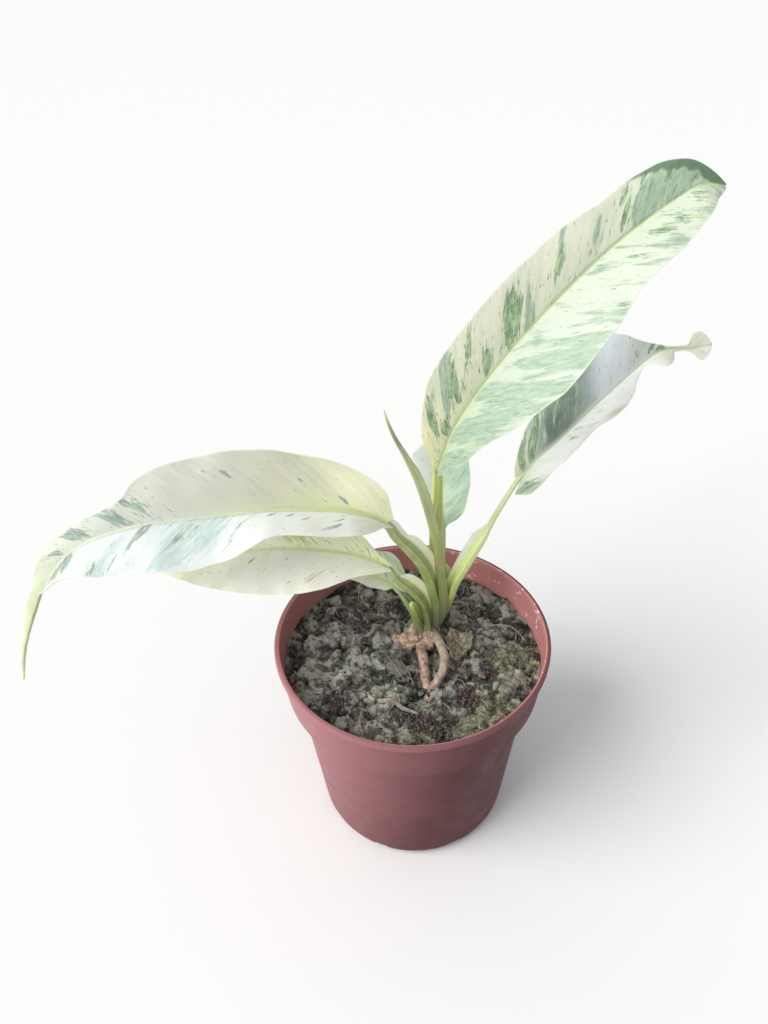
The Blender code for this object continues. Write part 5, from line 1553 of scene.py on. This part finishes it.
    def scatter(self, name: str, models: Models, spots: Array, rise: Array | float, sizes: Array,
                lean: float, rng: np.random.Generator, stuff: tuple[str, ...], sharp: float = 0.0) -> None:
        """Copy the models over the bed, each copy turned, tilted and scaled, as one finished mesh.

        Each copy has one "shade" value from 0 to 0.5.

        Args:
            name: The object's name.
            models: (vertices, triangles) pairs of unit size.
            spots: Rows of plan places (x, y), in millimetres.
            rise: How far each copy stands above the bed, in millimetres.
            sizes: One size in millimetres for each spot.
            lean: The largest tilt in radians.
            rng: The seeded generator.
            stuff: The material's name, and its dark, middle and light colour.
            sharp: The angle in degrees above which an edge stays sharp. Faces stay flat at 0.
        """
        all_places, all_faces, all_shades = [], [], []
        start = 0
        heights = self.heights(spots[:, 0], spots[:, 1]) + rise
        for (x, y), height, size in zip(spots, heights, sizes):
            places, faces = models[int(rng.integers(len(models)))]
            turn, tilt, way = rng.uniform(0, 2 * math.pi), rng.uniform(-lean, lean), rng.uniform(0, math.pi)
            axis = Vector((math.cos(way), math.sin(way), 0))
            spin = np.array(Matrix.Rotation(tilt, 3, axis) @ Matrix.Rotation(turn, 3, "Z"))
            all_places.append(places @ spin.T * size + (x, y, height))
            all_faces.append(faces + start)
            all_shades.append(np.full(len(places), 0.5 * rng.random()))
            start += len(places)
        mesh = bpy.data.meshes.new(name)
        mesh.from_pydata((np.concatenate(all_places) * MM).tolist(), [], np.concatenate(all_faces).tolist())
        piece = add_object(name, mesh)
        write_values(piece, "shade", np.concatenate(all_shades))
        settle(piece, self.crumb_stuff(*stuff), "peat", sharp=sharp)

    def spots(self, count: int, rng: np.random.Generator, margin: float = 1.5) -> Array:
        """Return random places spread evenly over the bed, clear of the crown of the plant."""
        radius = (self.wall(self.edge_height) - margin) * np.sqrt(rng.random(count))
        angle = rng.random(count) * 2 * math.pi
        places = stack(radius * np.cos(angle), radius * np.sin(angle))
        x, y, radius = self.CROWN
        return places[np.hypot(places[:, 0] - x, places[:, 1] - y) > radius]

    def lay_crumbs(self, rng: np.random.Generator) -> None:
        """Scatter peat crumbs, bark flakes and the purple-brown clusters of bark fines.

        Args:
            rng: The seeded generator.
        """
        lumps = self.crumb_models(0.8)
        spots = self.spots(self.crumb_count, rng)
        sizes = 0.6 + 2.4 * rng.random(len(spots)) ** 3
        self.scatter("peat_crumbs", lumps, spots, 0.1 * sizes, sizes, 1.2, rng,
                     ("peat crumbs", "#393632", "#57544D", "#807C72"), 50)

        spots = self.spots(self.flake_count, rng, 4.0)
        sizes = 2.0 + 3.6 * rng.random(len(spots)) ** 1.8
        self.scatter("bark_flakes", self.crumb_models(0.22), spots, 0.5, sizes, 0.7, rng,
                     ("weathered pine bark", "#3B302B", "#655650", "#958479"), 40)

        groups, rises = [], []
        for clump in self.GRAINS:
            away = clump.size * np.sqrt(rng.random(int(5.0 * clump.size ** 2)))
            angle = rng.random(len(away)) * 2 * math.pi
            groups.append(stack(clump.x + away * np.cos(angle), clump.y + away * np.sin(angle)))
            rises.append(1.3 * clump.strength * (1 - (away / clump.size) ** 2))
        spots = np.concatenate(groups)
        inside = np.hypot(spots[:, 0], spots[:, 1]) < self.OPEN_RADIUS
        spots, rise = spots[inside], np.concatenate(rises)[inside]
        sizes = rng.uniform(0.8, 1.6, len(spots))
        self.scatter("bark_fines", lumps, spots, rise, sizes, 1.5, rng,
                     ("composted bark fines", "#322A2A", "#584C4B", "#8C807E"), 50)

    def grow_moss(self, rng: np.random.Generator) -> None:
        """Scatter moss tufts where the bed is damp and lit.

        Args:
            rng: The seeded generator.
        """
        spots = self.spots(self.tuft_count * 4, rng)
        cover = self.cover(self.MOSS, spots[:, 0], spots[:, 1])
        spots = spots[rng.random(len(spots)) < cover ** 1.6][:self.tuft_count]
        sizes = rng.uniform(0.6, 1.4, len(spots))
        self.scatter("cushion_moss", self.tuft_models(), spots, 0.05, sizes, 0.7, rng,
                     ("cushion moss", "#626254", "#8A8A70", "#B2B298"))

    def fibre(self, name: str, routes: list[tuple[Array, float]], colour: str, tip: str) -> None:
        """Lay thin roots and fibres as one bevelled curve, then make it a mesh.

        Args:
            name: The object's name.
            routes: (points, radius) pairs, in millimetres.
            colour: The main colour.
            tip: The colour of the paler places.
        """
        curve = bpy.data.curves.new(name, "CURVE")
        curve.dimensions = "3D"
        curve.bevel_depth = 1.0 * MM
        curve.bevel_resolution = 1
        curve.use_fill_caps = True
        for route, radius in routes:
            line = CentreLine(route)
            count = max(6, int(line.length / 0.9))
            shares = np.linspace(0, 1, count)
            spline = curve.splines.new("POLY")
            spline.points.add(count - 1)
            for point, share, place in zip(spline.points, shares, line.at(shares)):
                point.co = (*(place * MM), 1.0)
                point.radius = radius * (1 - 0.55 * abs(2 * share - 1) ** 3)
        piece = add_object(name, curve)
        only(piece)
        bpy.ops.object.convert(target="MESH")
        look = Shader("dry root fibre, " + name.replace("_", " "))
        grain = look.add("TexNoise", look.add("TexCoord", out="Object"), 1000 / 2.5, 4.0)
        tone = look.add("ValToRGB", grain, stops=((0.35, colour), (0.7, tip)))
        settle(piece, look.finish(Base_Color=tone, Roughness=0.7), "peat", sharp=60)

    def lay_fibres(self, rng: np.random.Generator) -> None:
        """Lay the loose fibres, and the few pale roots that show on the bed.

        Args:
            rng: The seeded generator.
        """
        for name, dark, light in (("dark_fibres", "#2E2824", "#5B5047"),
                                  ("pale_fibres", "#837C6A", "#B9B3A0")):
            loose = []
            for x, y in self.spots(self.fibre_count // 2, rng, 5.0):
                count = int(rng.integers(4, 8))
                heading = rng.uniform(0, 2 * math.pi) + np.cumsum(rng.uniform(-0.7, 0.7, count))
                step = rng.uniform(1.2, 2.6)
                plan = stack(x + np.cumsum(step * np.cos(heading)), y + np.cumsum(step * np.sin(heading)))
                plan = plan[np.hypot(plan[:, 0], plan[:, 1]) < self.OPEN_RADIUS + 1]
                if len(plan) > 3:
                    height = self.heights(plan[:, 0], plan[:, 1]) + 0.4 + 1.2 * rng.random(len(plan))
                    loose.append((np.column_stack([plan, height]), float(rng.uniform(0.09, 0.2))))
            self.fibre(name, loose, dark, light)
        roots = []
        for plan, radius, rise in self.PALE_ROOTS:
            rows = np.array(plan, float)
            level = self.heights(rows[:, 0], rows[:, 1])
            roots.append((np.column_stack([rows, 0.5 * level + 0.5 * level.mean() + rise]), radius))
        self.fibre("pale_roots", roots, "#7D776A", "#B3AC98")

    def build(self) -> None:
        """Model and dress the bed and all that lies on it."""
        bed = new_tube("peat_bed", self.segments, self.rings + len(self.FOOT), self.surface)
        places = places_of(bed) / MM
        x, y = places[:, 0], places[:, 1]
        low, high = self.HILL_RANGE
        # the clods' height, which the peat turns into painted shade in the hollows and a painted highlight
        # on the tops
        write_values(bed, "high", np.clip((self.hilliness(x, y) - low) / (high - low), 0, 1))
        for name, clumps in (("crust", self.CRUST), ("moss", self.MOSS), ("grains", self.GRAINS)):
            write_values(bed, name, self.cover(clumps, x, y))
        settle(bed, self.peat(), "peat", "soil", sharp=70)
        rng = np.random.default_rng(SEED)
        self.lay_crumbs(rng)
        self.grow_moss(rng)
        self.lay_fibres(rng)


@dataclass
class Rhizome:
    """The knobbly stem base with its two stout surface roots, and the bark scrap beside it.

    Lumps and limbs are rows of (x, y, z, radius) in millimetres.
    """

    lumps: Rows = (
        (-6.9, 6.2, 93.6, 2.8), (-2.6, 5.6, 93.4, 3.9), (2.4, 5.6, 94.2, 4.5), (7.4, 6.2, 94.9, 4.0),
        (8.6, 10.8, 93.8, 4.2), (7.8, 2.2, 93.4, 2.1), (-0.6, 3.2, 92.6, 2.6), (4.8, 3.0, 93.0, 2.4))
    papery_cone: Rows = (
        (2.0, 9.8, 101.2, 1.3), (1.4, 8.6, 98.6, 2.3), (0.6, 7.2, 95.8, 3.4), (0.2, 6.4, 92.5, 4.0))
    left_root: Rows = (
        (4.0, 5.0, 93.5, 2.5), (4.3, 0.4, 93.4, 2.35), (4.8, -6.0, 92.9, 2.3), (5.5, -12.0, 91.9, 2.35),
        (6.2, -17.6, 90.2, 2.3), (6.8, -21.6, 86.5, 2.0), (7.0, -22.8, 81, 1.7))
    right_root: Rows = (
        (9.0, 8.5, 95, 2.4), (10.9, 4.0, 96.8, 2.2), (13.1, -2.4, 97.2, 2.1), (14.1, -8.9, 96.8, 2.0),
        (13.0, -14.9, 95.6, 1.95), (10.6, -19.2, 94.4, 1.85), (8.3, -22.5, 92.8, 1.7),
        (6.4, -25.6, 90.4, 1.5), (5.8, -27.4, 84, 1.2))
    bark_centre: tuple[float, float] = (20.6, -0.4)
    bark_length: float = 15.0
    bark_width: float = 11.0
    bark_turn: float = 78.0

    def roughen(self, places: Array, knobs: float) -> Array:
        """Return how far each place is pushed out: soft knobs with sharp creases between them."""
        soft = soft_noise(places * 0.3)
        crease = (1 - np.abs(soft_noise(places * 0.42 + 7.7))) ** 7
        return knobs * (soft + 0.35 * soft_noise(places * 1.1 + 3.1) - 0.7 * crease)

    def lump(self, x: float, y: float, z: float, radius: float) -> Object:
        """Model one knob of the stem base from a ball."""
        ball = primitive("ico_sphere", subdivisions=5, radius=1.0)
        out = unit(places_of(ball))
        places = out * radius + (x, y, z)
        move_vertices(ball, (places + out * self.roughen(places, 0.3 * radius)[:, None]) * MM)
        return ball

    def limb(self, name: str, route: Rows, knobs: float, rings: float) -> Object:
        """Model one limb as a tube with knobs and growth rings.

        Args:
            name: The object's name.
            route: (x, y, z, radius) points.
            knobs: Height of the knobs in millimetres.
            rings: Height of the growth rings in millimetres.

        Returns:
            The closed tube.
        """
        line = CentreLine(route)
        near = [float(line.travel[np.argmin(np.linalg.norm(line.points - point[:3], axis=1))]) / line.length
                for point in route]
        near[0], near[-1] = 0.0, 1.0
        radii = tuple(zip(near, (point[3] for point in route)))

        def surface(turn: Array, share: Array) -> Array:
            """Return places round the limb.

            Args:
                turn: Shares of a turn.
                share: Shares of the way along.

            Returns:
                One place for each pair, in millimetres.
            """
            centre, _, side, up = line.frames(share, np.array([0.13, 0.31, 0.94]))
            angle = turn * 2 * math.pi
            out = side * np.cos(angle)[:, None] + up * np.sin(angle)[:, None]
            places = centre + out * read(radii, share)[:, None]
            ring = rings * np.sin(share * line.length * 2 * math.pi / 2.4 + 0.8 * np.sin(angle))
            return places + out * (self.roughen(places, knobs) + ring)[:, None]

        return new_tube(name, 40, 130, surface)

    def near(self, places: Array, route: Rows, reach: float = 0.6) -> Array:
        """Return 1 for places on a limb, fading to 0 at a reach beyond its skin."""
        away = CentreLine(route).away(places)
        return np.clip((2.2 + reach - away) / reach, 0, 1)

    def cork(self) -> Material:
        """Cork skin of an aroid's stem base: beige papery scales, brown furrows and dark pits.

        The young root is pale, smooth and a little pink. The stub of an old stem at the left end is redder.
        Where the roots dive, wet soil clings to them.

        Returns:
            The material.
        """
        look = Shader("cork skin of an aroid stem")
        place = look.add("TexCoord", out="Object")
        young, stub = (look.add("Attribute", attribute_name=name, out="Fac") for name in ("young", "stub"))
        large = look.add("TexNoise", place, 1000 / 4.4, 6.0, 0.66, Distortion=0.5)
        drawn_out = look.add("Mapping", place, Scale=(1.0, 1.0, 0.4))
        furrow = look.add("TexNoise", drawn_out, 1000 / 1.0, 5.0, 0.7)
        total = look.add("Math", furrow, 0.5, large, operation="MULTIPLY_ADD")
        tone, fresh, red = (look.add("ValToRGB", value, stops=stops) for value, stops in (
            (total, ((0.54, "#5A473B"), (0.67, "#92796A"), (0.79, "#BCA28C"), (0.95, "#DBC9B6"))),
            (large, ((0.34, "#80705F"), (0.5, "#A89684"), (0.68, "#CEC0AE"))),
            (total, ((0.56, "#43302A"), (0.74, "#9A7060"), (0.92, "#DDB9A4")))))
        pit = look.add("MapRange", look.add("TexNoise", place, 1000 / 2.4, 2.5, 0.55), 0.62, 0.67, 0.0, 0.7)
        aged_pit = look.add("Math", young, -1.2, pit, operation="MULTIPLY_ADD")
        height = look.add("SeparateXYZ", place, out="Z")
        for layer in ((fresh, young), (red, stub), ("#553C31", aged_pit),
                      ("#4A4039", height, 91.5 * MM, 88.5 * MM, 0.7)):
            tone = look.lay(tone, *layer)
        strength = look.add("MapRange", young, 0.0, 1.0, 0.9, 0.2)
        return look.finish(Base_Color=tone, Normal=look.add("Bump", strength, 0.5 * MM, Height=total),
                           Roughness=look.add("MapRange", young, 0.0, 1.0, 0.66, 0.36))

    def bark(self) -> Material:
        """Dry flaking bark: olive brown, matt and fibrous, with pale worn ridges.

        Returns:
            The material.
        """
        look = Shader("dry flaking bark")
        place = look.add("TexCoord", out="Object")
        drawn_out = look.add("Mapping", place, Rotation=(0, 0, 0.3), Scale=(1.0, 0.65, 1.0))
        grain = look.add("TexNoise", drawn_out, 1000 / 1.6, 7.0, 0.7)
        tone = look.add("ValToRGB", grain, stops=((0.36, "#4A433A"), (0.5, "#7A7160"), (0.64, "#B1A893")))
        bump = look.add("Bump", 0.9, 0.4 * MM, Height=grain)
        return look.finish(Base_Color=tone, Normal=bump, Roughness=0.8)

    def scrap_surface(self, grid_x: Array, share: Array) -> Array:
        """Return places on the crumpled bark scrap's lower face.

        Args:
            grid_x: Shares across the scrap.
            share: Shares along it.

        Returns:
            One place for each pair, in millimetres.
        """
        turn = math.radians(self.bark_turn)
        u, v = share - 0.5, grid_x - 0.5
        ragged = 1 + 0.22 * soft_noise(stack(7 * u, 3 * np.sign(v), 0))
        across = self.bark_width * (1 - 1.2 * (u - 0.1) ** 2 - 0.7 * np.clip(-u, 0, 1)) * v * ragged
        x = self.bark_centre[0] + math.cos(turn) * self.bark_length * u - math.sin(turn) * across
        y = self.bark_centre[1] + math.sin(turn) * self.bark_length * u + math.cos(turn) * across
        flat = stack(x, y, 0)
        rough = 1.5 * soft_noise(flat * 0.2) + 0.5 * soft_noise(flat * 0.7)
        return stack(x, y, 9 * v * v + 3.0 * np.clip(u, 0, 1) + rough)

    def build(self) -> None:
        """Model and dress the stem base and the scrap."""
        limbs = [self.lump(*values) for values in self.lumps]
        limbs += [self.limb(*values) for values in (
            ("papery_cone", self.papery_cone, 0.5, 0.12), ("left_root", self.left_root, 0.5, 0.06),
            ("right_root", self.right_root, 0.12, 0.03))]
        only(limbs[0])
        for limb in limbs:
            limb.select_set(True)
        bpy.ops.object.join()
        stem = bpy.context.active_object
        stem.name = "stem_base"
        stem.data.remesh_voxel_size = 0.34 * MM
        bpy.ops.object.voxel_remesh()
        keep_modifier(stem, "SMOOTH", factor=0.5, iterations=2)
        places = places_of(stem) / MM
        young = self.near(places, self.right_root) * np.clip((5.5 - places[:, 1]) / 3, 0, 1)
        left = self.near(places, self.left_root) * np.clip((2.5 - places[:, 1]) / 3, 0, 1)
        stub = np.clip((-3.5 - places[:, 0]) / 2, 0, 1)
        write_values(stem, "young", np.maximum(young, 0.3 * left))
        write_values(stem, "stub", np.maximum(0.8 * stub, 0.45 * left * (1 - young)))
        settle(stem, self.cork(), "root_bark", "rhizome", sharp=80)

        low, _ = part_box("bark_scrap")
        scrap = new_sheet("bark_scrap_skin", 36, 50, self.scrap_surface)
        keep_modifier(scrap, "SOLIDIFY", thickness=0.8 * MM, offset=1.0)
        places = places_of(scrap)
        places[:, 2] += low.z + 0.2 * MM - places[:, 2].min()
        move_vertices(scrap, places)
        settle(scrap, self.bark(), "loose_bark", "bark_scrap", sharp=50)


@dataclass
class Studio:
    """A pale floor, soft light from the left, and the camera at the photograph's view."""

    camera_place: Point = (0.0, -237.48, 354.25)
    camera_turn: Point = (52.2963, 1.6271, 1.2058)
    sensor_width: float = 36.0
    focal_share: float = 780 / 1024
    floor_size: float = 12000.0
    # each lamp's name, direction, angle in degrees, power and colour
    lamps: tuple[tuple[str, Point, float, float, str], ...] = (
        ("key", (-0.68, -0.34, 0.65), 45.0, 2.6, "#FFFDF9"),
        ("dome", (-0.4, -0.3, 0.87), 150.0, 1.3, "#FAFCFF"))

    def light_it(self) -> None:
        """Add a soft key light from the left, a very wide light round it, and a weak even light."""
        world = bpy.data.worlds.new("studio")
        bpy.context.scene.world = world
        world.use_nodes = True
        background = world.node_tree.nodes["Background"]
        background.inputs["Color"].default_value = linear("#FAFBFF")
        background.inputs["Strength"].default_value = 0.2
        for name, place, angle, power, colour in self.lamps:
            lamp = bpy.data.lights.new(name, "SUN")
            lamp.angle = math.radians(angle)
            lamp.energy = power
            lamp.color = linear(colour)[:3]
            add_object(name, lamp).rotation_euler = Vector(place).to_track_quat("Z", "Y").to_euler()

    def lay_floor(self) -> None:
        """Lay the pale floor of matt paper, with a faint tooth in its tone."""
        floor = primitive("plane", size=self.floor_size * MM)
        floor.name = "studio_floor"
        look = Shader("matt white paper backdrop")
        tooth = look.add("TexNoise", look.add("TexCoord", out="Object"), 1000 / 1.5, 3.0)
        tone = look.lay("#F4F4F4", "#F7F7F7", tooth)
        floor.data.materials.append(look.finish(Base_Color=tone, Roughness=0.95, Specular_IOR_Level=0.1))

    def aim(self) -> None:
        """Place the camera at the photograph's view."""
        data = bpy.data.cameras.new("camera")
        data.sensor_width = self.sensor_width
        data.lens = self.focal_share * self.sensor_width
        data.clip_start = 0.01
        camera = add_object("camera", data)
        camera.location = Vector(self.camera_place) * MM
        camera.rotation_euler = tuple(math.radians(angle) for angle in self.camera_turn)
        bpy.context.scene.camera = camera
        bpy.context.scene.view_settings.view_transform = "Standard"

    def build(self) -> None:
        """Set up the whole studio."""
        self.light_it()
        self.lay_floor()
        self.aim()


def main() -> None:
    """Load the part, build and dress each sub-assembly, and set up the studio."""
    logging.basicConfig(level=logging.INFO, format="%(name)s: %(message)s")
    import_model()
    blades = (TALL, RIGHT, UPPER_LEFT, LOWER_LEFT, SMALL_LEFT, SMALL_BACK)
    for assembly in (Studio(), NurseryPot(), PeatBed(), Rhizome(), *STALKS, *blades):
        assembly.build()


if __name__ == "__main__":
    main()
